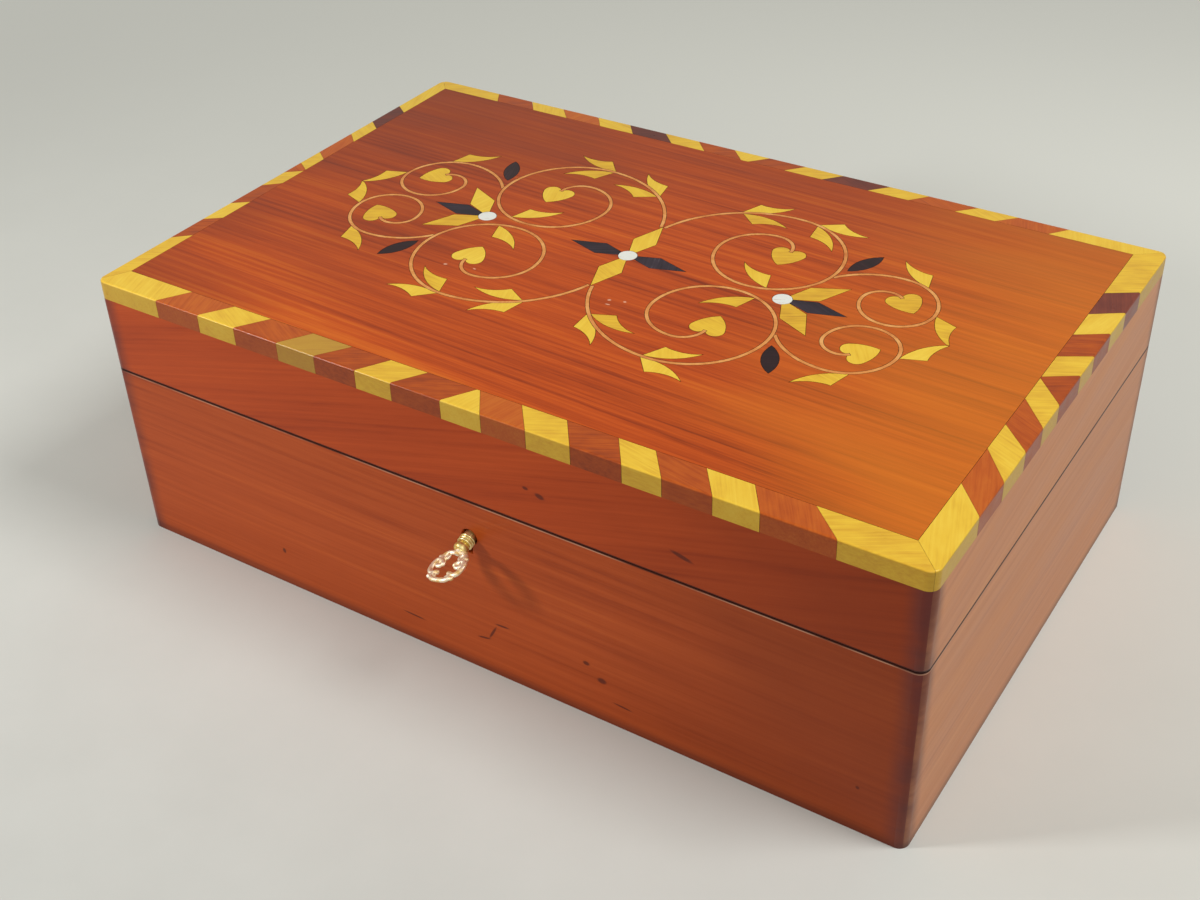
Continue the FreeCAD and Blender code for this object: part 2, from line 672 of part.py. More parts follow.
# Quarters: side of the long axis, side of the short axis, and the turns of the scroll at which
# its two pairs of leaves were set by eye
QUARTERS = (
    (-1, 1, 129.5, 91.5),
    (1, 1, 120, 74),
    (-1, -1, 129.5, 85.5),
    (1, -1, 137.5, 92.5),
)
OUTER_LEANS = (6, 15)
INNER_LEANS = (-37, -33)
BACK_LEAF = (-71, -58)
SMALL_LEAF = (62, 165)
END_LEAF = (0, 36)
LEAF_HUMP_SHARES = (0.38, 0.25)
LEAF_HOLLOW_SHARE = 0.07
LEAF_BELLY_SHARE = 0.12
HEART_LOBE_SHARE = 0.24
HEART_SHOULDER_SHARE = 0.14
HEART_FLANK_SHARE = 0.07
HEART_LOBE_RISE_SHARE = 0.26
PETAL_WAIST_SHARE = 0.48
SIDE_PETAL_LEANS = (-45, 45)
BUD_SEAT = (4, 66)
# Join of two grown edges that runs on to a point
SHARP_CORNERS = 2


def across(point, heading, distance):
    angle = math.radians(heading)
    return (point[0] + distance * math.cos(angle), point[1] + distance * math.sin(angle))


def flat(point):
    return FreeCAD.Vector(point[0], point[1], 0)


def bowed_edge(start, end, rise):
    """An arc from start to end that stands off to the left of its chord by rise."""
    chord = flat(end) - flat(start)
    left = FreeCAD.Vector(-chord.y, chord.x, 0).normalize()
    middle = (flat(start) + flat(end)) / 2 + left * rise
    return Part.Arc(flat(start), middle, flat(end)).toShape()


def straight_edge(start, end):
    return Part.LineSegment(flat(start), flat(end)).toShape()


def outline_face(edges):
    return Part.Face(Part.Wire(Part.__sortEdges__(edges)))


def scroll_arcs(start, radius, shares, turns):
    """Centre, radius and turns of each arc. A turn is the direction from the centre, in degrees."""
    arcs = []
    for share, turn, end in zip(shares, turns, turns[1:]):
        centre = across(start, turn, -radius * share)
        arcs.append((centre, radius * share, turn, end))
        start = across(centre, end, radius * share)
    return arcs


def scroll_point(arcs, turn, offset):
    """A point beside the scroll at a turn, and the heading of the scroll there."""
    centre, radius = next((arc[0], arc[1]) for arc in arcs if arc[2] >= turn >= arc[3])
    return across(centre, turn, radius + offset), turn - 90


def string_face(arcs):
    """The inlaid string: a band of even width along the scroll."""
    half = size.string_width / 2
    edges = []
    for side in (half, -half):
        for centre, radius, turn, end in arcs:
            marks = [across(centre, angle, radius + side) for angle in (turn, (turn + end) / 2, end)]
            edges.append(Part.Arc(*[flat(mark) for mark in marks]).toShape())
    for arc, turn in ((arcs[0], arcs[0][2]), (arcs[-1], arcs[-1][3])):
        edges.append(straight_edge(across(arc[0], turn, arc[1] + half), across(arc[0], turn, arc[1] - half)))
    return outline_face(edges)


def leaf_face(base, heading, side):
    """A leaf with one shoulder, on the left of its heading when side is 1."""
    length = size.leaf_length
    along, aside = LEAF_HUMP_SHARES
    hump = across(across(base, heading, along * length), heading + 90 * side, aside * length)
    tip = across(base, heading, length)
    return outline_face([
        straight_edge(base, hump),
        bowed_edge(hump, tip, -side * LEAF_HOLLOW_SHARE * length),
        bowed_edge(tip, base, side * LEAF_BELLY_SHARE * length),
    ])


def heart_face(notch, heading):
    """A heart whose notch takes the end of a scroll, with its tip along the heading."""
    length = size.heart_length
    tip = across(notch, heading, length * (1 - HEART_LOBE_SHARE))
    edges = []
    for side in (1, -1):
        shoulder = across(across(notch, heading, length * HEART_SHOULDER_SHARE), heading + 90 * side,
                          size.heart_width / 2)
        edges.append(bowed_edge(notch, shoulder, side * size.heart_width * HEART_LOBE_RISE_SHARE))
        edges.append(bowed_edge(shoulder, tip, side * length * HEART_FLANK_SHARE))
    return outline_face(edges)


def lens_face(base, heading, length, width):
    tip = across(base, heading, length)
    return outline_face([bowed_edge(base, tip, width / 2), bowed_edge(tip, base, width / 2)])


def petal_face(centre, heading, length, width):
    waist = across(centre, heading, length * PETAL_WAIST_SHARE)
    corners = [centre, across(waist, heading - 90, width / 2), across(centre, heading, length),
               across(waist, heading + 90, width / 2)]
    return Part.Face(Part.makePolygon([flat(corner) for corner in corners + corners[:1]]))


def quarter_pieces(first_pair, second_pair):
    """The inlays of one quarter, in the order in which later ones give way to earlier ones."""
    start = (size.string_width / 2 + size.saw_kerf, size.light_petal_length)
    scroll = scroll_arcs(start, size.scroll_radius, SCROLL_SHARES, SCROLL_TURNS)
    beside = size.string_width / 2 + size.saw_kerf
    seat, _ = scroll_point(scroll, SMALL_SCROLL_SEAT, beside)
    small = scroll_arcs(seat, size.small_scroll_radius, SMALL_SCROLL_SHARES, SMALL_SCROLL_TURNS)
    pieces = [("strings", string_face(scroll)), ("strings", string_face(small))]
    for pair_turn, outer_lean, inner_lean in zip((first_pair, second_pair), OUTER_LEANS, INNER_LEANS):
        for lean, side in ((outer_lean, 1), (inner_lean, -1)):
            base, heading = scroll_point(scroll, pair_turn, side * beside)
            pieces.append(("leaves", leaf_face(base, heading + lean, side)))
    base, heading = scroll_point(scroll, BACK_LEAF[0], -beside)
    pieces.append(("leaves", leaf_face(base, heading + BACK_LEAF[1], -1)))
    base, heading = scroll_point(small, SMALL_LEAF[0], beside)
    pieces.append(("leaves", leaf_face(base, heading + SMALL_LEAF[1], -1)))
    base, heading = scroll_point(small, END_LEAF[0], beside)
    pieces.append(("leaves", leaf_face(base, heading + END_LEAF[1], 1)))
    for arcs, turns in ((scroll, SCROLL_TURNS), (small, SMALL_SCROLL_TURNS)):
        notch, heading = scroll_point(arcs, turns[-1], 0)
        pieces.append(("hearts", heart_face(across(notch, heading, size.saw_kerf), heading)))
    base, _ = scroll_point(scroll, BUD_SEAT[0], size.bud_stand_off)
    pieces.append(("buds", lens_face(base, BUD_SEAT[1], size.bud_length, size.bud_width)))
    return pieces


def flower_pieces():
    """The three flowers on the long axis, each a round pearl with its petals."""
    light = (size.light_petal_length, size.light_petal_width)
    dark = (size.dark_petal_length, size.dark_petal_width)
    pieces = [("pearls", Part.Face(Part.Wire(Part.makeCircle(size.pearl_radius, flat((x, 0))))))
              for x in (0, -size.flower_spacing, size.flower_spacing)]
    for heading in (90, -90):
        pieces.append(("light_petals", petal_face((0, 0), heading, *light)))
    for heading in (0, 180):
        centre = across((0, 0), heading, size.flower_spacing)
        pieces.append(("dark_petals", petal_face((0, 0), heading, *dark)))
        pieces.append(("dark_petals", petal_face(centre, heading, *dark)))
        for lean in SIDE_PETAL_LEANS:
            pieces.append(("light_petals", petal_face(centre, heading + lean, *light)))
    return pieces


def largest_face(shape):
    return max(shape.Faces, key=lambda face: face.Area)


def make_marquetry():
    """Saws the pattern through the veneer: each hole is its inlay grown by the saw's kerf."""
    fit = (size.box_length - 2 * size.pattern_margin) / size.pattern_length
    drawn = flower_pieces()
    for side_x, side_y, first_pair, second_pair in QUARTERS:
        for kind, face in quarter_pieces(first_pair, second_pair):
            half = Part.makePlane(size.box_length, size.box_width, flat((0, 2 * size.saw_kerf)))
            half.translate(FreeCAD.Vector(-size.box_length / 2, 0, 0))
            face = largest_face(face.common(half))
            if side_x < 0:
                face = face.mirror(ORIGIN, X_AXIS)
            if side_y < 0:
                face = face.mirror(ORIGIN, Y_AXIS)
            drawn.append((kind, face))
    inlays = {}
    holes = []
    for kind, face in drawn:
        face.scale(fit)
        near = [hole for hole in holes if hole.BoundBox.intersect(face.BoundBox)]
        holes.append(face.makeOffset2D(size.saw_kerf, SHARP_CORNERS))
        if near:
            face = largest_face(face.cut(near))
        inlays.setdefault(kind, []).append(face)

    ground_length = size.box_length - size.left_edging - size.right_edging - 2 * size.glue_line
    ground_width = size.box_width - size.front_edging - size.back_edging - 2 * size.glue_line
    ground_corner = (size.left_edging + size.glue_line - size.box_length / 2 - size.pattern_shift_x,
                     size.front_edging + size.glue_line - size.box_width / 2 - size.pattern_shift_y)
    ground = Part.makePlane(ground_length, ground_width, flat(ground_corner))
    spot = FreeCAD.Vector(size.pattern_shift_x, size.pattern_shift_y, size.box_height - size.veneer_thickness)
    rise = FreeCAD.Vector(0, 0, size.veneer_thickness)

    def lay(label, faces):
        feature = add_solids(label, [face.extrude(rise) for face in faces])
        feature.Placement.Base = spot

    lay("lid_veneer", ground.cut(holes).Faces)
    for kind, faces in inlays.items():
        lay(kind, faces)


# Key: drawn upright with its bow along X, then laid into the lock

RING_COUNT = 3

def key_placement(out=0):
    """The key's place in the lock, or that of a point further out along its shank."""
    swing = FreeCAD.Rotation(Z_AXIS, size.key_swing)
    lean = FreeCAD.Rotation(X_AXIS, 90 + size.key_droop)
    tilt = FreeCAD.Rotation(Z_AXIS, size.key_tilt)
    plate_y = -size.box_width / 2 + size.wall - size.plate_thickness
    pivot = FreeCAD.Vector(0, plate_y - (size.shank_end_gap + size.drill_pin_length) / 2,
                           size.seam_height - size.key_drop)
    turn = swing * lean * tilt
    return FreeCAD.Placement(pivot + turn.multVec(Z_AXIS) * out, turn)


def make_key():
    """The shank is turned: a hollow stem, three rings at the keyhole and a bulb that carries the bow."""
    end = "-(drill_pin_length - shank_end_gap) / 2"
    face = f"((box_width / 2 + {PIVOT_Y}) / cos(key_droop * 1 deg) / cos(key_swing * 1 deg))"
    bow = f"{face} + bow_start"
    bore_end = f"{end} + shank_bore_length"
    profile = [("shank_bore_radius", end), ("shank_radius", end)]
    for i in range(RING_COUNT):
        start = f"{face} + ring_start + {i} * ring_spacing"
        slope = "(ring_spacing - ring_land) / 2"
        profile.append(("shank_radius", start))
        profile.append(("ring_radius", f"{start} + {slope}"))
        profile.append(("ring_radius", f"{start} + {slope} + ring_land"))
    profile += [
        ("neck_radius", f"{face} + ring_start + {RING_COUNT} * ring_spacing"),
        ("bulb_radius", f"{bow} - bulb_length / 2"),
        ("neck_radius", bow),
        ("0", bow),
        ("0", bore_end),
        ("shank_bore_radius", bore_end),
    ]
    body = doc.addObject("PartDesign::Body", "key_turning")
    sketch = straight_sketch(body, "key_profile", "XZ_Plane", "0", profile)
    turning = body.newObject("PartDesign::Revolution", "key_revolution")
    turning.Profile = sketch
    turning.ReferenceAxis = (sketch, ["V_Axis"])
    bit = block("bit_blade", ("shank_bore_radius + running_gap", "-bit_thickness / 2", end),
                "bit_radius - shank_bore_radius - running_gap", "bit_thickness", "bit_width")
    finish(fuse("key_solid", [body, bit]), "key_shank").Placement = key_placement()


BOW_SIDE_SHARES = (0.29, 0.47, 0.20)
BOW_SHOULDER_SHARES = (0.17, 0.21, 0.15)
BOW_FOOT_SHARES = (0.16, 0.78, 0.15)
BOW_CURL_SHARES = (0.14, 0.50, 0.075)
BOW_NUB_SHARES = ((0.31, 0.16, 0.05), (0.33, 0.80, 0.05), (0.0, 0.93, 0.06))


def bow_ring(shares, sign):
    """A round hoop of the pierced bow. Shares give its place across and along, and its mean radius."""
    middle = FreeCAD.Vector(sign * shares[0] * size.bow_width, 0, shares[1] * size.bow_length)
    radius = shares[2] * size.bow_width
    outer = Part.makeCylinder(radius + size.bow_bar / 2, size.bow_thickness, middle, Y_AXIS)
    inner = Part.makeCylinder(radius - size.bow_bar / 2, size.bow_thickness, middle, Y_AXIS)
    return outer, inner


def make_bow():
    """A cast bow pierced with scrolls: side hoops, shoulders, foot, curls inside and nubs outside."""
    outers = []
    inners = []
    discs = []
    for sign in (1, -1):
        for shares in (BOW_SIDE_SHARES, BOW_SHOULDER_SHARES, BOW_FOOT_SHARES):
            outer, inner = bow_ring(shares, sign)
            outers.append(outer)
            inners.append(inner)
        discs.append(bow_ring(BOW_CURL_SHARES, sign)[0])
        for shares in BOW_NUB_SHARES:
            middle = FreeCAD.Vector(sign * shares[0] * size.bow_width, 0, shares[1] * size.bow_length)
            discs.append(Part.makeCylinder(shares[2] * size.bow_width, size.bow_thickness, middle, Y_AXIS))
    rings = [outer.cut(inner) for outer, inner in zip(outers, inners)]
    neck = Part.makeBox(2 * size.bow_bar, size.bow_thickness, size.bow_length * BOW_SHOULDER_SHARES[1],
                        FreeCAD.Vector(-size.bow_bar, 0, 0))
    plate = rings[0].fuse(rings[1:] + discs + [neck]).removeSplitter()
    above = Part.makeBox(size.bow_width, size.bow_thickness, size.bow_length,
                         FreeCAD.Vector(-size.bow_width / 2, 0, 0))
    plate = plate.common(above)
    plate.translate(FreeCAD.Vector(0, -size.bow_thickness / 2, 0))
    feature = add_solids("key_bow", plate.Solids)
    pivot = key_placement().Base
    lean = math.cos(math.radians(size.key_droop)) * math.cos(math.radians(size.key_swing))
    feature.Placement = key_placement((size.box_width / 2 + pivot.y) / lean + size.bow_start)


outer_form = make_outer_form()
make_lock()
make_bolt()
make_spring()
make_carcase()
make_lid()
make_edging()
make_marquetry()
make_key()
make_bow()
doc.recompute()

for thing in doc.Objects:
    if "Invalid" in thing.State or "Error" in thing.State:
        raise RuntimeError(f"{thing.Label} did not recompute")
for part in parts:
    if part.Shape.isNull() or not part.Shape.isValid() or not part.Shape.Solids:
        raise RuntimeError(f"{part.Label} has no valid solid")

os.makedirs("parts", exist_ok=True)
for part in parts:
    part.Shape.exportStep(f"parts/{part.Label}.step")
    box = part.Shape.BoundBox
    print(part.Label, len(part.Shape.Solids), "solids", f"{part.Shape.Volume:.1f} mm3",
          f"z {box.ZMin:.1f} to {box.ZMax:.1f}")
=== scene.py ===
import json
import math

import bmesh
import bpy
from mathutils import Matrix, Vector


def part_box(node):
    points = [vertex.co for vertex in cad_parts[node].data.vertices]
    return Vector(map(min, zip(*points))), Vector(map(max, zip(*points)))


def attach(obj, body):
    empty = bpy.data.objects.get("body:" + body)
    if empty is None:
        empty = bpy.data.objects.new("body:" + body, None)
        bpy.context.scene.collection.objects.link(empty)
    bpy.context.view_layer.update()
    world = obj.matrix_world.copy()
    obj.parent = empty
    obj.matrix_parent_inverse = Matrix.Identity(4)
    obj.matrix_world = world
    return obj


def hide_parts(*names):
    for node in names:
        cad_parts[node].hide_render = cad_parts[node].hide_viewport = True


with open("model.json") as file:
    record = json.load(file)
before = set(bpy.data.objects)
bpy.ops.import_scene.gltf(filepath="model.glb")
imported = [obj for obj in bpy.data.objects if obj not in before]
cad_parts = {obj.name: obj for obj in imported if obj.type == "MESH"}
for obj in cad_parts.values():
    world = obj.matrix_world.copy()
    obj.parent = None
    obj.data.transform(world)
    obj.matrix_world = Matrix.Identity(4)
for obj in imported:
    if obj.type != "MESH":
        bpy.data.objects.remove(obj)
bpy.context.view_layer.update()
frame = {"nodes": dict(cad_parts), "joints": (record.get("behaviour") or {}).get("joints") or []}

# A lidded box in polished cherry, its lid inlaid with scrolls and edged with blocks of three woods.
# The solids come from the frame in metres. This script adds finishes, screws, the key as turned and cast,
# and the studio.

MM = 0.001
nodes = frame["nodes"]
joints = {joint["name"]: joint for joint in frame["joints"]}

# Places read from the frame
front_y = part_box("front_board")[0].y
right_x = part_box("right_end")[1].x
back_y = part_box("back_board")[1].y
seam_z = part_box("front_board")[1].z
seam_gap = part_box("lid_front")[0].z - seam_z
core_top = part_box("lid_board")[1].z
top_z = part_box("lid_veneer")[1].z


# Nodes and colours

COLOUR_A, COLOUR_B, COLOUR_OUT = 6, 7, 2    # the colour sockets of a Mix node
UNTURNED = (0.0, 0.0, 0.0)
GRAIN_ROUGHNESS = 0.6

# How many times a pattern breaks up into finer ones
SOFT, CLOUDY, FINE, FINEST = 2.0, 3.0, 4.0, 5.0


def linear(code):
    """An sRGB hex colour as the linear red, green, blue and alpha that shaders work in."""
    parts = [int(code[i:i + 2], 16) / 255 for i in (1, 3, 5)]
    return [p / 12.92 if p <= 0.04045 else ((p + 0.055) / 1.055) ** 2.4 for p in parts] + [1.0]


def add(tree, kind, sockets=None, stops=None, **settings):
    """One node with its settings. A socket takes a value or another node's output, and stops fill a ramp."""
    node = tree.nodes.new(kind)
    for name, value in settings.items():
        setattr(node, name, value)
    for name, value in (sockets or {}).items():
        if isinstance(value, bpy.types.NodeSocket):
            tree.links.new(value, node.inputs[name])
        else:
            node.inputs[name].default_value = value
    if stops:
        ramp = node.color_ramp.elements
        while len(ramp) < len(stops):
            ramp.new(1.0)
        for element, (position, colour) in zip(ramp, stops):
            element.position = position
            element.color = linear(colour)
    return node


def start_material(name):
    """A new material: its tree, its shader and the object's own coordinates, in metres in the frame."""
    material = bpy.data.materials.new(name)
    material.use_nodes = True
    tree = material.node_tree
    place = add(tree, "ShaderNodeTexCoord").outputs["Object"]
    return material, tree, tree.nodes["Principled BSDF"], place


def grain(tree, place, sizes, detail, turn=UNTURNED, seed=UNTURNED):
    """Noise drawn out along the grain. Sizes are the mean lengths in mm of its marks along x, y and z."""
    scale = [size * MM for size in sizes]
    lay = {"Vector": place, "Location": seed, "Rotation": turn, "Scale": scale}
    drawn = add(tree, "ShaderNodeMapping", lay, vector_type="TEXTURE").outputs["Vector"]
    noise = {"Vector": drawn, "Scale": 1.0, "Detail": detail, "Roughness": GRAIN_ROUGHNESS}
    return add(tree, "ShaderNodeTexNoise", noise).outputs["Fac"]


def weigh(tree, parts):
    """The sum of several patterns, each times its weight."""
    total = 0.0
    for pattern, weight in parts:
        sums = {0: pattern, 1: weight, 2: total}
        total = add(tree, "ShaderNodeMath", sums, operation="MULTIPLY_ADD").outputs[0]
    return total


def share_where(tree, *spans, most=1.0):
    """The share of a finish, up to most, where all its spans hold. A span is a pattern with the value
    where it begins and the value where it is full, and a soft step between them, or a share as it stands."""
    share = most
    for span in spans:
        part = span
        if isinstance(span, tuple):
            pattern, begins, full = span
            rises = begins < full
            ends = {"Value": pattern, "From Min": min(begins, full), "From Max": max(begins, full),
                    "To Min": 0.0 if rises else 1.0, "To Max": 1.0 if rises else 0.0}
            part = add(tree, "ShaderNodeMapRange", ends, interpolation_type="SMOOTHSTEP").outputs["Result"]
        share = add(tree, "ShaderNodeMath", {0: part, 1: share}, operation="MULTIPLY").outputs[0]
    return share


def stain(tree, base, shade, *spans, most=1.0):
    """The base colour with a shade laid over it, by its share where the spans hold."""
    share = share_where(tree, *spans, most=most)
    mix = {"Factor": share, COLOUR_A: base, COLOUR_B: linear(shade)}
    return add(tree, "ShaderNodeMix", mix, data_type="RGBA").outputs[COLOUR_OUT]


# Woods

# French polish, rubbed on thin and dulled by handling, so that it mirrors less than fresh shellac
POLISH_IOR = 1.5
POLISH_ROUGHNESS = 0.16
POLISH_COAT = 0.03
POLISH_SPECULAR = 0.15
EDGING_COAT = 0.18      # the edging keeps a thicker coat, so it is glossier
GLOSS_LEAST, GLOSS_CHANGE = 0.2, 0.3
DRY_ROUGHNESS = 0.7
GLUE = "#241008"        # hide glue in a joint, dark with age
GLUE_SHARE = 0.9

# Marks in a board: length and width in mm, share of the tone and fineness. Soft bands are a few growth
# rings wide, then come the rings, and pores about four times coarser than real ones, so that they show.
BANDS = (170.0, 13.0, 0.41, CLOUDY)
RINGS = (120.0, 1.6, 0.47, FINEST)
PORES = (9.0, 0.5, 0.12, SOFT)
PORE_BUMP, PORE_DEPTH = 0.12, 0.05 * MM


def polish(shader, coat):
    """Sets the clear polish of a shader."""
    shader.inputs["IOR"].default_value = POLISH_IOR
    shader.inputs["Specular IOR Level"].default_value = POLISH_SPECULAR
    shader.inputs["Coat Weight"].default_value = coat
    shader.inputs["Coat Roughness"].default_value = POLISH_ROUGHNESS


def board_wood(name, along, stops, turn=UNTURNED, seed=UNTURNED, polished=True):
    """A board, planed and scraped: streaks run along the named axis, under a thin gloss if polished."""
    material, tree, shader, place = start_material(name)
    layers = []
    for length, width, share, detail in (BANDS, RINGS, PORES):
        sizes = [length if axis == along else width for axis in "xyz"]
        layers.append((grain(tree, place, sizes, detail, turn, seed), share))
    bands, pores = layers[0][0], layers[-1][0]
    colour = add(tree, "ShaderNodeValToRGB", {"Fac": weigh(tree, layers)}, stops).outputs["Color"]
    bump = add(tree, "ShaderNodeBump", {"Height": pores, "Strength": PORE_BUMP, "Distance": PORE_DEPTH})
    tree.links.new(bump.outputs["Normal"], shader.inputs["Normal"])
    polish(shader, POLISH_COAT if polished else 0.0)
    if polished:
        gloss = weigh(tree, [(bands, GLOSS_CHANGE), (GLOSS_LEAST, 1.0)])
        tree.links.new(gloss, shader.inputs["Roughness"])
    else:
        shader.inputs["Roughness"].default_value = DRY_ROUGHNESS
    return material, tree, shader, place, colour


MARK_RIM, MARK_CORE, MARK_SHARE = 1.0, 0.45, 0.8


def marks(tree, place, colour, centres, facing, shade):
    """Knots, dents and specks as soft ovals on a face. Each is a centre and three half sizes in mm, and
    a lean in degrees about the axis that the face looks along."""
    for centre, halves, lean in centres:
        turn = [math.radians(lean) if axis == facing else 0.0 for axis in "xyz"]
        lay = {"Vector": place, "Location": [c * MM for c in centre], "Rotation": turn,
               "Scale": [h * MM for h in halves]}
        oval = add(tree, "ShaderNodeMapping", lay, vector_type="TEXTURE").outputs["Vector"]
        reach = add(tree, "ShaderNodeVectorMath", {0: oval}, operation="LENGTH").outputs["Value"]
        colour = stain(tree, colour, shade, (reach, MARK_RIM, MARK_CORE), most=MARK_SHARE)
    return colour


# Dirt, wear and painted shade of the walls: distances from the outer faces, from the foot and from
# the seam. The sizes of smudges and scuffs are in mm.
CORNER_BEGINS, CORNER_FULL = 9.0 * MM, 1.5 * MM
CORNER_LEAST, CORNER_CHANGE = 0.5, 0.35
SMUDGE_SIZES, SMUDGE_BEGINS, SMUDGE_FULL = (30, 30, 14), 0.3, 0.6
SCUFF_SIZES, SCUFF_BEGINS, SCUFF_FULL = (25, 25, 4), 0.35, 0.6
FOOT_HEIGHT, FOOT_SHARE = 5.0 * MM, 0.6
SKIN_BEGINS, SKIN_FULL = 2.2 * MM, 1.2 * MM
WORN_BEGINS, WORN_FULL, WORN_FADES, WORN_ENDS = 0.9 * MM, 0.5 * MM, 0.3 * MM, 0.15 * MM
WORN_SHARE = 0.7
SEAM_PAINTED_SHADE_BEGINS, SEAM_PAINTED_SHADE_FULL, SEAM_PAINTED_SHADE_SHARE = 0.75 * MM, 0.35 * MM, 0.9
# Colours: dirt on the upright corners, painted shade at the foot and along the seam, and pale worn polish
CORNER_DIRT, FOOT_PAINTED_SHADE, SEAM_PAINTED_SHADE, WORN_POLISH = "#5a2c2a", "#4a2018", "#2a0d08", "#d2a283"


def dirt_and_painted_shade(tree, place, colour):
    """A wall's dark upright corners from handling, painted shade at foot and seam, and polish worn pale by
    the seam.
    """
    x, y, z = add(tree, "ShaderNodeSeparateXYZ", {"Vector": place}).outputs
    middle = seam_z + seam_gap / 2
    far = {}
    for name, axis, edge in (("x", x, 0.0), ("y", y, 0.0), ("seam", z, middle)):
        off = add(tree, "ShaderNodeMath", {0: axis, 1: edge}, operation="SUBTRACT").outputs[0]
        far[name] = add(tree, "ShaderNodeMath", {0: off}, operation="ABSOLUTE").outputs[0]
    outer_faces = [(far["x"], right_x), (far["y"], back_y)]

    smudge = share_where(tree, (grain(tree, place, SMUDGE_SIZES, CLOUDY), SMUDGE_BEGINS, SMUDGE_FULL))
    dirt = weigh(tree, [(smudge, CORNER_CHANGE), (CORNER_LEAST, 1.0)])
    corner = [(reach, edge - CORNER_BEGINS, edge - CORNER_FULL) for reach, edge in outer_faces]
    colour = stain(tree, colour, CORNER_DIRT, *corner, dirt)
    # painted shade: the foot of the wall darker where it meets the floor
    colour = stain(tree, colour, FOOT_PAINTED_SHADE, (z, FOOT_HEIGHT, 0.0), most=FOOT_SHARE)

    skin = [share_where(tree, (reach, edge - SKIN_BEGINS, edge - SKIN_FULL)) for reach, edge in outer_faces]
    outer = add(tree, "ShaderNodeMath", {0: skin[0], 1: skin[1]}, operation="MAXIMUM").outputs[0]
    scuff = (grain(tree, place, SCUFF_SIZES, CLOUDY), SCUFF_BEGINS, SCUFF_FULL)
    colour = stain(tree, colour, WORN_POLISH, (z, seam_z - WORN_BEGINS, seam_z - WORN_FULL),
                   (z, seam_z - WORN_ENDS, seam_z - WORN_FADES), scuff, outer, most=WORN_SHARE)
    # painted shade: a dark band along the outer rim of the seam
    return stain(tree, colour, SEAM_PAINTED_SHADE, (far["seam"], SEAM_PAINTED_SHADE_BEGINS, SEAM_PAINTED_SHADE_FULL), outer,
                 most=SEAM_PAINTED_SHADE_SHARE)


FRONT_STOPS = [(0.3, "#862b0b"), (0.44, "#a43d10"), (0.56, "#b04515"), (0.7, "#be521b")]
CASE_STOPS = [(0.3, "#86300e"), (0.44, "#a44315"), (0.56, "#b04c1c"), (0.7, "#be5922")]
LEFT_STOPS = [(0.3, "#8c3c1a"), (0.44, "#a85229"), (0.56, "#b25c30"), (0.7, "#be693a")]
# The right end's ramp: its paler cherry, lightened further by painted sheen
PALE_END_AND_SHEEN_STOPS = [(0.3, "#a8603a"), (0.44, "#bd7a50"), (0.56, "#c58358"), (0.7, "#ce9064")]
VENEER_STOPS = [(0.35, "#7e2b0d"), (0.45, "#b04412"), (0.54, "#c65217"), (0.66, "#d86c20")]

# Old knots and dents of the front wall and of the lid's front, and specks on the top, in mm in the frame
KNOT, SPECK = "#4d1c12", "#e9b79a"
FRONT_Y = front_y / MM
TOP_Z = top_z / MM
CASE_MARKS = [
    ((-26.5, FRONT_Y, 10.8), (6.0, 2.0, 0.5), 2), ((55.0, FRONT_Y, 9.5), (4.5, 2.0, 0.5), 4),
    ((-83.0, FRONT_Y, 15.0), (1.0, 2.0, 1.4), 0), ((42.0, FRONT_Y, 21.8), (1.6, 2.0, 1.1), 0),
    ((47.6, FRONT_Y, 17.0), (2.2, 2.0, 1.5), 0), ((134.0, FRONT_Y, 17.8), (0.8, 2.0, 0.8), 0),
    ((2.5, FRONT_Y, 14.2), (3.4, 2.0, 0.55), -12), ((6.2, FRONT_Y, 18.0), (4.4, 2.0, 0.6), -62),
    ((10.2, FRONT_Y, 22.4), (3.6, 2.0, 0.55), -4),
]
LID_MARKS = [
    ((28.0, FRONT_Y, 81.0), (2.2, 2.0, 1.2), 12), ((23.0, FRONT_Y, 82.2), (1.4, 2.0, 0.8), 0),
    ((76.0, FRONT_Y, 78.4), (4.8, 2.0, 1.0), 14),
]
TOP_SPECKS = [
    ((-54.4, -29.2, TOP_Z), (0.9, 0.6, 2.0), 20), ((-44.0, -27.0, TOP_Z), (0.8, 0.4, 2.0), -10),
    ((6.0, -22.0, TOP_Z), (0.8, 0.6, 2.0), 30), ((11.0, -20.6, TOP_Z), (0.7, 0.6, 2.0), 0),
    ((7.0, -24.6, TOP_Z), (1.1, 0.4, 2.0), 5),
]

# Ageing towards one side: the tone's drift along x and y, the share of soft clouds in it, its offset,
# where it begins and is full, its share at most and its shade. The sizes of the clouds are in mm.
WALL_CLOUDS, TOP_CLOUDS = (60, 60, 30), (110, 50, 50)
WALL_AGEING = [(1.0, 0.0, 0.5, -0.25, 0.1, 1.05, 0.6, "#66260f")]
TOP_AGEING = [
    (-1.0, 0.25, 1.6, -0.8, 0.1, 1.3, 0.65, "#7e3118"),
    (0.0, 1.0, 0.8, -0.4, 0.2, 1.1, 0.5, "#8a3d20"),
    (1.0, 0.0, 0.9, -0.45, 0.25, 1.0, 0.55, "#d98022"),
]


def age(tree, place, colour, ageing, cloud):
    """A colour that drifts to other shades towards the sides of the box."""
    ways = add(tree, "ShaderNodeSeparateXYZ", {"Vector": place}).outputs
    for along_x, along_y, cloudy, offset, begins, full, most, shade in ageing:
        drift = weigh(tree, [(ways["X"], along_x / right_x), (ways["Y"], along_y / back_y),
                             (cloud, cloudy), (offset, 1.0)])
        colour = stain(tree, colour, shade, (drift, begins, full), most=most)
    return colour


RUBBED_STEPS = 2


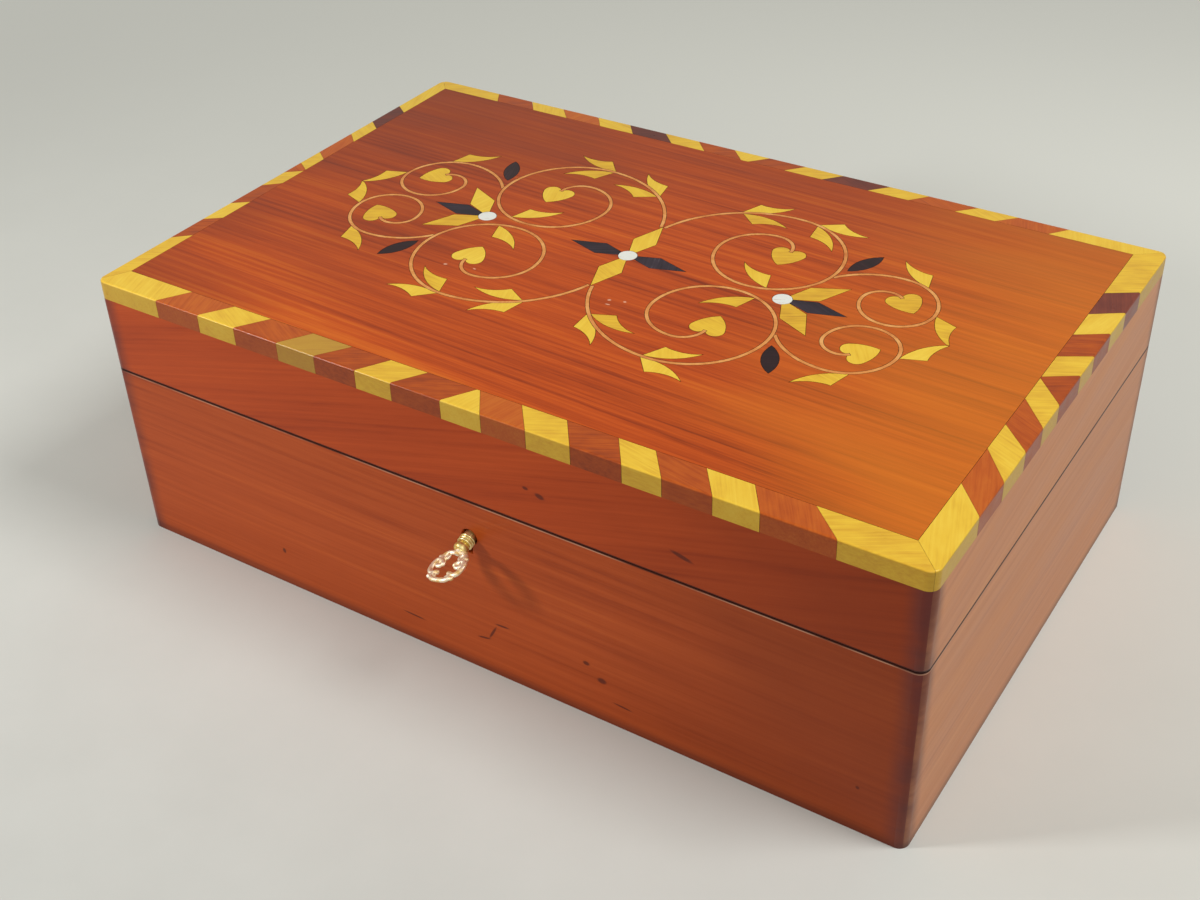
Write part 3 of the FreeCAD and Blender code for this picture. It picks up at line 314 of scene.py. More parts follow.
def rub_edges(piece, width, sharper_than):
    """Rounds the edges of a piece that are sharper than an angle in degrees, as rubbing does."""
    rubbed = piece.modifiers.new("rubbed_arris", "BEVEL")
    rubbed.width = width
    rubbed.segments = RUBBED_STEPS
    rubbed.limit_method = "ANGLE"
    rubbed.angle_limit = math.radians(sharper_than)


OWN_TONE = "own_tone"
SAME_POINT = 0.001 * MM
TONE_SEED = 7


def number_solids():
    """A node group that gives every solid of a node one number of its own, from 0 to 1, for its tone."""
    group = bpy.data.node_groups.new("number_solids", "GeometryNodeTree")
    for way in ("INPUT", "OUTPUT"):
        group.interface.new_socket("Geometry", in_out=way, socket_type="NodeSocketGeometry")
    entry = add(group, "NodeGroupInput").outputs["Geometry"]
    merge = {"Geometry": entry, "Distance": SAME_POINT}
    joined = add(group, "GeometryNodeMergeByDistance", merge).outputs["Geometry"]
    island = add(group, "GeometryNodeInputMeshIsland").outputs["Island Index"]
    draw = {"ID": island, "Seed": TONE_SEED}
    drawn = add(group, "FunctionNodeRandomValue", draw, data_type="FLOAT").outputs[1]
    nearest = add(group, "GeometryNodeSampleNearest", {"Geometry": joined}, domain="POINT").outputs["Index"]
    own = add(group, "GeometryNodeSampleIndex", {"Geometry": joined, "Value": drawn, "Index": nearest},
              data_type="FLOAT", domain="POINT").outputs["Value"]
    keep = {"Geometry": entry, "Name": OWN_TONE, "Value": own}
    stored = add(group, "GeometryNodeStoreNamedAttribute", keep, data_type="FLOAT",
                 domain="POINT").outputs["Geometry"]
    add(group, "NodeGroupOutput", {"Geometry": stored})
    return group


solid_numbers = number_solids()
WALL_ARRIS, WALL_ARRIS_ANGLE = 0.3 * MM, 35


def dress(material, *names, arris=0.0, numbered=False):
    """Gives CAD nodes a material in place of their plain one. Edges may be rubbed round by a small arris,
    and solids numbered for a tone each."""
    for name in names:
        nodes[name].data.materials.clear()
        nodes[name].data.materials.append(material)
        if numbered:
            nodes[name].modifiers.new("solid_numbers", "NODES").node_group = solid_numbers
        if arris:
            weld = nodes[name].modifiers.new("joined_faces", "WELD")
            weld.merge_threshold = SAME_POINT
            rub_edges(nodes[name], arris, WALL_ARRIS_ANGLE)


def finish_wall(name, along, stops, walls, marked=(), turn=UNTURNED, seed=UNTURNED):
    """A wall of the box: cherry with its own run of grain, its marks and the dirt of handling."""
    material, tree, shader, place, colour = board_wood(name, along, stops, turn, seed)
    if along == "x":
        cloud = grain(tree, place, WALL_CLOUDS, SOFT, UNTURNED, seed)
        colour = age(tree, place, colour, WALL_AGEING, cloud)
    colour = marks(tree, place, colour, marked, "y", KNOT)
    tree.links.new(dirt_and_painted_shade(tree, place, colour), shader.inputs["Base Color"])
    dress(material, *walls, arris=WALL_ARRIS)


LID_FRONT_TURN, LID_FRONT_SEED = (0.0, math.radians(-16), 0.0), (0.3, 0.0, 0.1)
LID_END_TURN, LID_END_SEED = (0.12, 0.0, 0.0), (0.2, 0.1, 0.3)
VENEER_TURN = (0.0, 0.0, math.radians(-2))


def finish_walls():
    """Cherry walls, French polished: red-brown streaks under a thin gloss. The right end is the palest: paler
    cherry with painted sheen.
    """
    finish_wall("cherry_case_front", "x", CASE_STOPS, ["front_board", "back_board"], CASE_MARKS)
    finish_wall("cherry_lid_front", "x", FRONT_STOPS, ["lid_front", "lid_back"], LID_MARKS,
                LID_FRONT_TURN, LID_FRONT_SEED)
    # the right end takes the ramp with painted sheen
    for side, stops in (("right", PALE_END_AND_SHEEN_STOPS), ("left", LEFT_STOPS)):
        finish_wall(f"cherry_case_{side}_end", "y", stops, [f"{side}_end"])
        finish_wall(f"cherry_lid_{side}_end", "y", stops, [f"lid_{side}_end"], (), LID_END_TURN, LID_END_SEED)


SIDE_BEGINS, SIDE_FULL = 0.8, 0.2    # how far a face still looks up


def painted_shade_and_glue_sides(tree, colour, shade, most):
    """Upright faces darkened: the edging's by painted shade, the marquetry's sawn sides by glue."""
    facing = add(tree, "ShaderNodeTexCoord").outputs["Normal"]
    upward = add(tree, "ShaderNodeSeparateXYZ", {"Vector": facing}).outputs["Z"]
    return stain(tree, colour, shade, (upward, SIDE_BEGINS, SIDE_FULL), most=most)


def finish_lid_top():
    """Cherry veneer on the lid, sunlit orange to the right and aged to a dull red to the left and back."""
    material, tree, shader, place, colour = board_wood("cherry_veneer", "x", VENEER_STOPS, VENEER_TURN)
    colour = age(tree, place, colour, TOP_AGEING, grain(tree, place, TOP_CLOUDS, SOFT))
    colour = marks(tree, place, colour, TOP_SPECKS, "z", SPECK)
    colour = painted_shade_and_glue_sides(tree, colour, GLUE, GLUE_SHARE)
    tree.links.new(colour, shader.inputs["Base Color"])
    dress(material, "lid_veneer")


# Small sawn pieces: sizes in mm of their lines and clouds, and their shares in the tone
LINE_SIZES, CLOUD_SIZES = (16.0, 0.7, 0.7), (9.0, 5.0, 5.0)
LINE_SHARE, CLOUD_SHARE, TONE_OFFSET = 0.4, 0.3, 0.15
LINE_BUMP, LINE_DEPTH = 0.1, 0.04 * MM
LEAST_TURN, TURN_CHANGE = math.radians(-40), math.radians(150)


def block_wood(name, stops, spread, coat):
    """Small sawn blocks or leaves of one wood. Each takes its own tone and its own run of grain."""
    material, tree, shader, place = start_material(name)
    own = add(tree, "ShaderNodeAttribute", attribute_name=OWN_TONE).outputs["Fac"]
    angle = weigh(tree, [(own, TURN_CHANGE), (LEAST_TURN, 1.0)])
    turned = add(tree, "ShaderNodeVectorRotate", {"Vector": place, "Angle": angle},
                 rotation_type="Z_AXIS").outputs["Vector"]
    lines = grain(tree, turned, LINE_SIZES, FINE)
    clouds = grain(tree, turned, CLOUD_SIZES, SOFT)
    offset = TONE_OFFSET - spread / 2
    tone = weigh(tree, [(lines, LINE_SHARE), (clouds, CLOUD_SHARE), (own, spread), (offset, 1.0)])
    colour = add(tree, "ShaderNodeValToRGB", {"Fac": tone}, stops).outputs["Color"]
    bump = add(tree, "ShaderNodeBump", {"Height": lines, "Strength": LINE_BUMP, "Distance": LINE_DEPTH})
    tree.links.new(bump.outputs["Normal"], shader.inputs["Normal"])
    gloss = weigh(tree, [(clouds, GLOSS_CHANGE), (GLOSS_LEAST, 1.0)])
    tree.links.new(gloss, shader.inputs["Roughness"])
    polish(shader, coat)
    return material, tree, shader, place, colour


LIGHT_STOPS = [(0.22, "#c28a2c"), (0.36, "#e0ac34"), (0.5, "#efc23c"), (0.7, "#f7d24e")]
RED_STOPS = [(0.25, "#863414"), (0.42, "#b04c16"), (0.55, "#c25c1c"), (0.75, "#d07428")]
DARK_STOPS = [(0.25, "#4c2420"), (0.45, "#6e3228"), (0.6, "#833f2f"), (0.8, "#955039")]
BLACK_STOPS = [(0.28, "#171117"), (0.45, "#2a2029"), (0.58, "#3b303a"), (0.72, "#6d6770")]
BUD_STOPS = [(0.28, "#1d1114"), (0.5, "#2f1b1f"), (0.75, "#50353a")]
STRING_STOPS = [(0.3, "#cf783a"), (0.5, "#e39750"), (0.7, "#f0b06a")]
PEARL_STOPS = [(0.3, "#d9cfc4"), (0.42, "#f3efe6"), (0.52, "#e9f0e8"), (0.62, "#f6ece4"), (0.75, "#ffffff")]
POPLAR_STOPS = [(0.34, "#a9774a"), (0.46, "#c0905c"), (0.56, "#caa06c"), (0.68, "#d8b483")]
SIDES = ("front", "right", "back", "left")

# One light block of the front row has aged to olive: its ends along x, its reach from the front and its share
OLIVE_FROM, OLIVE_TO, OLIVE_EDGE = -74.0 * MM, -45.0 * MM, 0.1 * MM
OLIVE_DEEP, OLIVE_FADE, OLIVE_SHARE = 20 * MM, 19 * MM, 0.62
OLIVE = "#a06c34"

# Each wood of the small pieces: its material, ramp, spread of tones, coat, the colour and share laid on its
# upright faces (painted shade on the edging, glue on the marquetry), and its nodes
SMALL_WOODS = [
    # boxwood, sawn and stained yellow: bright gold, with fine straight lines, and painted shade on its
    # upright faces
    ("boxwood_edging_stained", LIGHT_STOPS, 0.12, EDGING_COAT, "#7a5218", 0.5,
     [f"{side}_light_blocks" for side in SIDES]),
    # cherry, sawn and polished: the walls' red-brown, block by block, and painted shade on its upright faces
    ("cherry_edging", RED_STOPS, 0.22, EDGING_COAT, "#5a210d", 0.5,
     [f"{side}_red_blocks" for side in SIDES]),
    # rosewood, sawn and polished: a few dark brown-red blocks
    ("rosewood_edging", DARK_STOPS, 0.2, EDGING_COAT, None, 0.0, ["dark_blocks"]),
    # boxwood, fretted and stained: gold leaves, each a little different, with a dark glue line
    ("boxwood_leaves_stained", LIGHT_STOPS, 0.24, POLISH_COAT, GLUE, GLUE_SHARE,
     ["leaves", "hearts", "light_petals"]),
    # pearwood, dyed through: a soft black, with worn grey streaks
    ("pearwood_dyed_black", BLACK_STOPS, 0.1, POLISH_COAT, None, 0.0, ["dark_petals"]),
    # pearwood, dyed through and faded: a warmer black
    ("pearwood_dyed_brown_black", BUD_STOPS, 0.15, POLISH_COAT, None, 0.0, ["buds"]),
]


def finish_small_woods():
    """Edging blocks of three woods, and the leaves, hearts, petals and buds of the marquetry."""
    for name, stops, spread, coat, shade, most, wooden in SMALL_WOODS:
        material, tree, shader, place, colour = block_wood(name, stops, spread, coat)
        if "front_light_blocks" in wooden:
            ways = add(tree, "ShaderNodeSeparateXYZ", {"Vector": place}).outputs
            colour = stain(tree, colour, OLIVE, (ways["X"], OLIVE_FROM - OLIVE_EDGE, OLIVE_FROM),
                           (ways["X"], OLIVE_TO + OLIVE_EDGE, OLIVE_TO),
                           (ways["Y"], front_y + OLIVE_DEEP, front_y + OLIVE_FADE), most=OLIVE_SHARE)
        # painted shade on the edging's upright faces, glue on the marquetry's
        if shade:
            colour = painted_shade_and_glue_sides(tree, colour, shade, most)
        tree.links.new(colour, shader.inputs["Base Color"])
        dress(material, *wooden, numbered=True)


STRING_CLOUDS, PEARL_FLOW = (7.0, 7.0, 7.0), (2.6, 0.9, 0.9)
PEARL_TURN = (0.0, 0.0, 0.6)
ROUGH_BEGINS, ROUGH_FULL = 0.2, 0.9
STRING_ROUGHNESS, PEARL_ROUGHNESS = 0.6, 0.35
PEARL_IOR, PEARL_SHEEN = 1.55, 0.15
CORE_GLUE_BEGINS, CORE_GLUE_FULL = 0.4 * MM, 0.2 * MM


def finish_strings():
    """Sycamore strings, sawn thin, dyed and bent: a peach line that is paler where it is worn."""
    material, tree, shader, place = start_material("sycamore_string_dyed")
    worn = grain(tree, place, STRING_CLOUDS, CLOUDY)
    colour = add(tree, "ShaderNodeValToRGB", {"Fac": worn}, STRING_STOPS).outputs["Color"]
    colour = painted_shade_and_glue_sides(tree, colour, GLUE, GLUE_SHARE)
    tree.links.new(colour, shader.inputs["Base Color"])
    rough = share_where(tree, (worn, ROUGH_BEGINS, ROUGH_FULL), most=STRING_ROUGHNESS)
    tree.links.new(rough, shader.inputs["Roughness"])
    polish(shader, POLISH_COAT)
    dress(material, "strings")


def finish_pearls():
    """Mother-of-pearl, ground flat and polished: white, with faint warm and green bands."""
    material, tree, shader, place = start_material("mother_of_pearl_ground")
    flow = grain(tree, place, PEARL_FLOW, CLOUDY, PEARL_TURN)
    colour = add(tree, "ShaderNodeValToRGB", {"Fac": flow}, PEARL_STOPS).outputs["Color"]
    tree.links.new(colour, shader.inputs["Base Color"])
    rough = share_where(tree, (flow, ROUGH_BEGINS, ROUGH_FULL), most=PEARL_ROUGHNESS)
    tree.links.new(rough, shader.inputs["Roughness"])
    shader.inputs["IOR"].default_value = PEARL_IOR
    shader.inputs["Sheen Weight"].default_value = PEARL_SHEEN
    dress(material, "pearls")


def finish_plain_wood():
    """Poplar, planed and left dry: base and lid core, pale inside and dark with glue under the veneer."""
    material, tree, shader, place, colour = board_wood("poplar_planed", "x", POPLAR_STOPS, polished=False)
    z = add(tree, "ShaderNodeSeparateXYZ", {"Vector": place}).outputs["Z"]
    glued = (z, core_top - CORE_GLUE_BEGINS, core_top - CORE_GLUE_FULL)
    colour = stain(tree, colour, GLUE, glued, most=GLUE_SHARE)
    tree.links.new(colour, shader.inputs["Base Color"])
    dress(material, "base_board", "lid_board")


# Metals

TARNISH_BEGINS, TARNISH_FULL = 0.42, 0.68
TARNISH_ROUGHNESS, WEAR_ROUGHNESS, WEAR_MEAN = 0.25, 0.12, 0.06
WEAR_SHARE = 1 / 8      # of the spots' size
WEAR_BUMP, WEAR_DEPTH = 0.15, 0.02 * MM


def metal(name, bright, dull, roughness, spot_size, brushed=None):
    """A metal with its tarnish: bright where it is rubbed, dull in soft spots, with fine wear lines.
    The sizes of its spots and of its brushed lines are in mm."""
    material, tree, shader, place = start_material(name)
    spots = grain(tree, place, 3 * (spot_size,), FINE)
    lines = grain(tree, place, brushed or 3 * (spot_size * WEAR_SHARE,), CLOUDY)
    tarnish = share_where(tree, (spots, TARNISH_BEGINS, TARNISH_FULL))
    tree.links.new(stain(tree, linear(bright), dull, tarnish), shader.inputs["Base Color"])
    rough = weigh(tree, [(tarnish, TARNISH_ROUGHNESS), (lines, WEAR_ROUGHNESS), (roughness - WEAR_MEAN, 1.0)])
    tree.links.new(rough, shader.inputs["Roughness"])
    bump = add(tree, "ShaderNodeBump", {"Height": lines, "Strength": WEAR_BUMP, "Distance": WEAR_DEPTH})
    tree.links.new(bump.outputs["Normal"], shader.inputs["Normal"])
    shader.inputs["Metallic"].default_value = 1.0
    return material


def finish_metals():
    """Metals of the hinges and the lock."""
    # brass, rolled to sheet and tarnished: dull gold with brown spots
    hinge_brass = metal("brass_rolled_tarnished", "#d2ad62", "#8f6a34", roughness=0.28, spot_size=7.0,
                        brushed=(14.0, 0.4, 0.4))
    # steel, filed and oiled: grey, with short file lines
    lock_steel = metal("steel_filed_and_oiled", "#a7a49d", "#5f5a54", roughness=0.32, spot_size=5.0,
                       brushed=(0.4, 6.0, 6.0))
    # steel, drawn bright: smooth light grey
    pin_steel = metal("steel_drawn_bright", "#b7b4ad", "#7a746b", roughness=0.25, spot_size=3.0)
    sides = ("left", "right")
    leaves = [f"{side}_hinge_{part}_leaf" for side in sides for part in ("lower", "upper")]
    dress(hinge_brass, *leaves, "lock_plate", "lock_cap", "link_plate")
    dress(pin_steel, *[f"{side}_hinge_pin" for side in sides], "drill_pin", "lock_posts", "bolt_spring")
    dress(lock_steel, "lock_bolt", "bolt_stump")


# Screws

SCREW_RADIUS = 1.8 * MM
SCREW_STANDS = 0.08 * MM
SCREW_HEIGHT = 0.9 * MM
SCREW_ARRIS, SCREW_ARRIS_ANGLE = 0.06 * MM, 30
SLOT_HALF = 0.24 * MM
SLOT_DEPTH = 0.5 * MM
SLOT_FIRST_ANGLE, SLOT_NEXT_ANGLE = 25, 67
SEAT_RADIUS, SEAT_DEPTH = 1.95 * MM, 1.4 * MM
ARC_STEPS = 20
HINGE_SCREW_OFFSET = 12.0 * MM
HINGE_SCREW_Y = 89.5 * MM
PLATE_SCREW_X, PLATE_SCREW_RISE = 19.4 * MM, 6.5 * MM
LINK_SCREW_X, LINK_SCREW_Y = 15.0 * MM, -89.6 * MM


def add_mesh(name, shape, material=None):
    """An object in the scene from a bmesh, with one material."""
    mesh = bpy.data.meshes.new(name)
    bmesh.ops.recalc_face_normals(shape, faces=shape.faces)
    shape.to_mesh(mesh)
    shape.free()
    piece = bpy.data.objects.new(name, mesh)
    bpy.context.scene.collection.objects.link(piece)
    if material:
        piece.data.materials.append(material)
    return piece


def screw_head(shape, place, out, angle):
    """A slotted screw head: its rim at the given place, its top facing along out, its slot at the angle."""
    facing = out.to_track_quat("Z", "Y").to_matrix().to_4x4()
    lay = Matrix.Translation(place) @ facing @ Matrix.Rotation(angle, 4, "Z")
    half_angle = math.asin(SLOT_HALF / SCREW_RADIUS)
    ring = []
    for half in (0, 1):
        for i in range(ARC_STEPS + 1):
            ring.append(half * math.pi + half_angle + (math.pi - 2 * half_angle) * i / ARC_STEPS)
    points = [(SCREW_RADIUS * math.cos(a), SCREW_RADIUS * math.sin(a)) for a in ring]
    rows = []
    for height in (SCREW_STANDS, SCREW_STANDS - SLOT_DEPTH, SCREW_STANDS - SCREW_HEIGHT):
        rows.append([shape.verts.new(lay @ Vector((x, y, height))) for x, y in points])
    top, floor, foot = rows
    count = ARC_STEPS + 1
    for first in (0, count):
        last = first + count - 1
        after = (last + 1) % (2 * count)
        shape.faces.new(top[first:last + 1])
        shape.faces.new([top[first], top[last], floor[last], floor[first]])
        shape.faces.new([floor[last], floor[after], foot[after], foot[last]])
        for i in range(first, last):
            shape.faces.new([top[i], top[i + 1], floor[i + 1], floor[i]])
            shape.faces.new([floor[i], floor[i + 1], foot[i + 1], foot[i]])
    shape.faces.new([floor[0], floor[count - 1], floor[count], floor[-1]])
    shape.faces.new(foot)


def screw_seat(shape, place, out):
    """The seat that a head sits in, to be cut out of the plate."""
    lay = Matrix.Translation(place) @ out.to_track_quat("Z", "Y").to_matrix().to_4x4()
    bmesh.ops.create_cone(shape, cap_ends=True, segments=2 * ARC_STEPS, radius1=SEAT_RADIUS,
                          radius2=SEAT_RADIUS, depth=SEAT_DEPTH, matrix=lay)


def set_screws(name, body, plate, places, out, material):
    """Screws through a plate, each in a seat of its own, with slots left at different angles."""
    heads, seats = bmesh.new(), bmesh.new()
    for i, place in enumerate(places):
        screw_head(heads, place, out, math.radians(SLOT_FIRST_ANGLE + SLOT_NEXT_ANGLE * i))
        screw_seat(seats, place, out)
    piece = add_mesh(name, heads, material)
    rub_edges(piece, SCREW_ARRIS, SCREW_ARRIS_ANGLE)
    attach(piece, body)
    cutter = add_mesh(name + "_seats", seats)
    cutter.hide_render = True
    cutter.display_type = "WIRE"
    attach(cutter, body)
    hole = nodes[plate].modifiers.new("screw_seats", "BOOLEAN")
    hole.object = cutter
    hole.solver = "EXACT"


def make_screws(material):
    """Screws of the hinge leaves, the lock plate and the link plate."""
    up, down, inward = Vector((0, 0, 1)), Vector((0, 0, -1)), Vector((0, 1, 0))
    rows = [("lower", "carcase", up, seam_z), ("upper", "lid", down, seam_z + seam_gap)]
    for part, body, facing, level in rows:
        for side in ("left", "right"):
            leaf = f"{side}_hinge_{part}_leaf"
            low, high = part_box(leaf)
            middle = (low.x + high.x) / 2
            places = [Vector((middle + way * HINGE_SCREW_OFFSET, HINGE_SCREW_Y, level)) for way in (-1, 1)]
            set_screws(f"{side}_hinge_{part}_screws", body, leaf, places, facing, material)
    low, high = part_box("lock_plate")
    rise = (low.z + high.z) / 2
    corners = [(x, z) for x in (-1, 1) for z in (-1, 1)]
    places = [Vector((x * PLATE_SCREW_X, high.y, rise + z * PLATE_SCREW_RISE)) for x, z in corners]
    set_screws("lock_plate_screws", "carcase", "lock_plate", places, inward, material)
    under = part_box("link_plate")[0].z
    places = [Vector((x * LINK_SCREW_X, LINK_SCREW_Y, under)) for x in (-1, 1)]
    set_screws("link_plate_screws", "lid", "link_plate", places, down, material)


# The key, in mm in its own frame: z runs out along the shank from its place on the lock's pin. Values times
# MM are in metres.

KEY_SWING, KEY_DROOP, KEY_TILT = math.radians(1.5), math.radians(13.5), math.radians(20)

# The shank: bored stem, three round rings with grooves between, neck, bulb and bit
SHANK_RADIUS, SHANK_BORE = 2.2, 1.4
SHANK_END, BORE_END = -1.55, 2.85
RING_RADIUS, RING_SPACING, RING_START, RING_COUNT = 2.65, 0.9, 0.4, 3
RING_GROOVE = 0.16
NECK_RADIUS, NECK_GAP = 1.5, 0.1
BULB_RADIUS, BULB_LENGTH = 2.5, 2.7
BIT_REACH, BIT_THICKNESS, BIT_WIDTH = 6.2, 1.6, 2.4
TURNED_STEPS, RING_STEPS, BULB_STEPS = 48, 6, 12
SHANK_ARRIS, SHANK_ARRIS_ANGLE = 0.1 * MM, 60
SMOOTH_ANGLE = 40

# Half of the pierced bow, across and away from the neck: lobes that meet in cusps, and the curls inside them,
# each with its share of the bar's radius. The other half is its mirror image.
BOW_START = 5.9
BAR_RADIUS = 1.05
BOW_BARS = [
    ([(0.0, 0.5), (1.8, 0.4), (3.8, 0.9), (4.7, 2.4), (4.2, 3.9), (3.0, 4.8), (2.5, 5.6)], 0.8),
    ([(3.2, 4.7), (4.6, 3.8), (6.1, 4.2), (6.5, 6.0), (6.4, 7.9), (5.5, 9.3), (4.0, 9.6), (2.6, 9.0)], 0.85),
    ([(3.5, 9.3), (4.1, 10.4), (3.3, 11.6), (1.6, 11.9), (0.0, 11.9)], 0.8),
    ([(3.6, 0.9), (2.4, 1.8), (2.4, 3.2), (3.2, 3.4)], 0.6),
    ([(4.4, 4.2), (5.0, 5.6), (4.4, 6.8), (3.5, 6.3)], 0.7),
    ([(3.8, 9.4), (2.6, 10.0), (2.5, 10.9)], 0.6),
]
KNOBS = [((5.5, 2.9), 0.85), ((4.9, 10.8), 0.8), ((2.5, 5.6), 0.75), ((2.5, 9.0), 0.8), ((3.5, 6.3), 0.8),
         ((3.2, 3.3), 0.65)]
BOW_FLATTER = 0.85
SOCKET_WIDE, SOCKET_NARROW, SOCKET_LENGTH, SOCKET_MIDDLE = 1.5, 0.9, 1.8, 0.5
BAR_STEPS, CURVE_STEPS, SOCKET_STEPS, KNOB_STEPS = 4, 8, 24, 3
CURVE_ORDER = 3
CAST_GRAIN, CAST_SMOOTHING = 0.13 * MM, 2


def key_lay():
    """The key's own frame, and the distance along the shank at which it leaves the front wall."""
    turn = Matrix.Rotation(KEY_SWING, 3, "Z") @ Matrix.Rotation(math.pi / 2 + KEY_DROOP, 3, "X")
    turn = turn @ Matrix.Rotation(KEY_TILT, 3, "Z")
    pivot = Vector(joints["key_turn"]["pos_m"])
    wall = (front_y - pivot.y) / (turn @ Vector((0, 0, 1))).y / MM
    return Matrix.Translation(pivot) @ turn.to_4x4() @ Matrix.Scale(MM, 4), wall


def swell(low, high, middle, half, steps):
    """A round swelling on a turned profile: points of radius and distance, from low up to high and back."""
    angles = [math.pi * k / steps for k in range(steps + 1)]
    return [(low + (high - low) * math.sin(angle), middle - half * math.cos(angle)) for angle in angles]


def shank_profile(wall):
    """Radius and distance of the turned shank."""
    line = [(SHANK_BORE, BORE_END), (SHANK_BORE, SHANK_END), (SHANK_RADIUS, SHANK_END)]
    for i in range(RING_COUNT):
        start = wall + RING_START + i * RING_SPACING
        line.append((SHANK_RADIUS, start))
        half = RING_SPACING / 2
        line += swell(SHANK_RADIUS, RING_RADIUS, start + half, half - RING_GROOVE, RING_STEPS)
    line.append((NECK_RADIUS, wall + RING_START + RING_COUNT * RING_SPACING + NECK_GAP))
    half = BULB_LENGTH / 2
    return line + swell(NECK_RADIUS, BULB_RADIUS, wall + BOW_START - half, half, BULB_STEPS)


def make_shank(material):
    """The shank as it comes off the lathe, with its filed bit."""
    lay, wall = key_lay()
    line = shank_profile(wall)
    shape = bmesh.new()
    rows = []
    for i in range(TURNED_STEPS):
        angle = 2 * math.pi * i / TURNED_STEPS
        rows.append([shape.verts.new((r * math.cos(angle), r * math.sin(angle), z)) for r, z in line])
    for i, row in enumerate(rows):
        after = rows[(i + 1) % TURNED_STEPS]
        for k in range(len(line) - 1):
            shape.faces.new([row[k], after[k], after[k + 1], row[k + 1]])
    shape.faces.new([row[0] for row in rows])
    shape.faces.new([row[-1] for row in rows])
    inner = (SHANK_BORE + SHANK_RADIUS) / 2
    size = Vector((BIT_REACH - inner, BIT_THICKNESS, BIT_WIDTH))
    middle = Vector(((BIT_REACH + inner) / 2, 0.0, SHANK_END + BIT_WIDTH / 2))
    bmesh.ops.create_cube(shape, size=1.0, matrix=Matrix.Translation(middle) @ Matrix.Diagonal(size).to_4x4())
    bmesh.ops.transform(shape, matrix=lay, verts=shape.verts)
    piece = add_mesh("key_shank_turned", shape, material)
    for face in piece.data.polygons:
        face.use_smooth = True
    piece.data.set_sharp_from_angle(angle=math.radians(SMOOTH_ANGLE))
    rub_edges(piece, SHANK_ARRIS, SHANK_ARRIS_ANGLE)
    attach(piece, "key")
    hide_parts("key_shank")


def bow_bars():
    """The bow's scrolled bars as a mesh of round tubes."""
    bars = bpy.data.curves.new("bow_bars", "CURVE")
    bars.dimensions = "3D"
    bars.bevel_depth = BAR_RADIUS
    bars.bevel_resolution = BAR_STEPS
    bars.use_fill_caps = True
    for way in (-1, 1):
        for line, share in BOW_BARS:
            spline = bars.splines.new("NURBS")
            spline.points.add(len(line) - 1)
            for point, (across, along) in zip(spline.points, line):
                point.co = (way * across, 0.0, along, 1.0)
                point.radius = share
            spline.order_u = CURVE_ORDER
            spline.use_endpoint_u = True
            spline.resolution_u = CURVE_STEPS
    drawn = bpy.data.objects.new("bow_bars", bars)
    bpy.context.scene.collection.objects.link(drawn)
    bpy.context.view_layer.update()
    tubes = bpy.data.meshes.new_from_object(drawn.evaluated_get(bpy.context.evaluated_depsgraph_get()))
    bpy.data.objects.remove(drawn)
    return tubes


def make_bow(material):
    """A bow cast in one piece: scrolled bars, knobs at the cusps, soft edges where the mould met."""
    lay, wall = key_lay()
    shape = bmesh.new()
    shape.from_mesh(bow_bars())
    for way in (-1, 1):
        for (across, along), radius in KNOBS:
            bmesh.ops.create_icosphere(shape, subdivisions=KNOB_STEPS, radius=radius,
                                       matrix=Matrix.Translation((way * across, 0.0, along)))
    socket = Matrix.Translation((0.0, 0.0, SOCKET_MIDDLE))
    bmesh.ops.create_cone(shape, cap_ends=True, segments=SOCKET_STEPS, radius1=SOCKET_WIDE,
                          radius2=SOCKET_NARROW, depth=SOCKET_LENGTH, matrix=socket)
    flatter = Matrix.Scale(BOW_FLATTER, 4, (0.0, 1.0, 0.0))
    place = Matrix.Translation((0.0, 0.0, wall + BOW_START))
    bmesh.ops.transform(shape, matrix=lay @ place @ flatter, verts=shape.verts)
    piece = add_mesh("key_bow_cast", shape, material)
    casting = piece.modifiers.new("one_casting", "REMESH")
    casting.mode = "VOXEL"
    casting.voxel_size = CAST_GRAIN
    casting.use_smooth_shade = True
    soft = piece.modifiers.new("soft_cast_edges", "SMOOTH")
    soft.iterations = CAST_SMOOTHING
    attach(piece, "key")
    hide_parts("key_bow")


# Studio, in metres

PAPER_STOPS = [(0.3, "#bcbdb8"), (0.7, "#c3c4bf")]
# The paler paper tone is painted light towards the back
PAPER_PAINTED_LIGHT, EVEN_PAPER, SURROUND = "#f2f2ea", "#bebeb6", "#f4f4ea"
PAPER_CLOUDS = (60.0, 60.0, 60.0)      # in mm
PAPER_ROUGHNESS, PAPER_SPECULAR = 0.8, 0.2
# painted light: where the paper starts and finishes turning paler
PAINTED_LIGHT_FROM, PAINTED_LIGHT_AT = -0.5, 0.5        # along y, front to back
EVEN_FROM, EVEN_AT = 0.35, 0.9          # distances over which the paper runs out to an even tone
FLOOR_RADIUS, FLOOR_STEPS = 4.0, 64
WORLD_LIGHT, WORLD_SEEN = 0.25, 0.57

# Each lamp's name, place, aim, width and watts
LAMPS = [
    ("overhead", (0.7, 0.1, 1.05), (0.0, 0.0, 0.05), 0.4, 7.7),
    ("front_left", (-0.5, -0.55, 0.42), (0.0, -0.1, 0.05), 0.12, 3.0),
    ("front_right", (0.8, -1.2, 0.95), (0.0, 0.0, 0.05), 0.8, 5.0),
]

CAMERA_PLACE = Vector((0.252727, -0.399333, 0.365788))
CAMERA_AZIMUTH, CAMERA_ELEVATION = math.radians(33.772), math.radians(35.483)
CAMERA_ROLL = math.radians(-1.999)
CAMERA_NEAREST = 0.01
SENSOR_WIDTH = 36.0
PHOTO_WIDTH = 1200
FOCAL_PIXELS = 1618.46


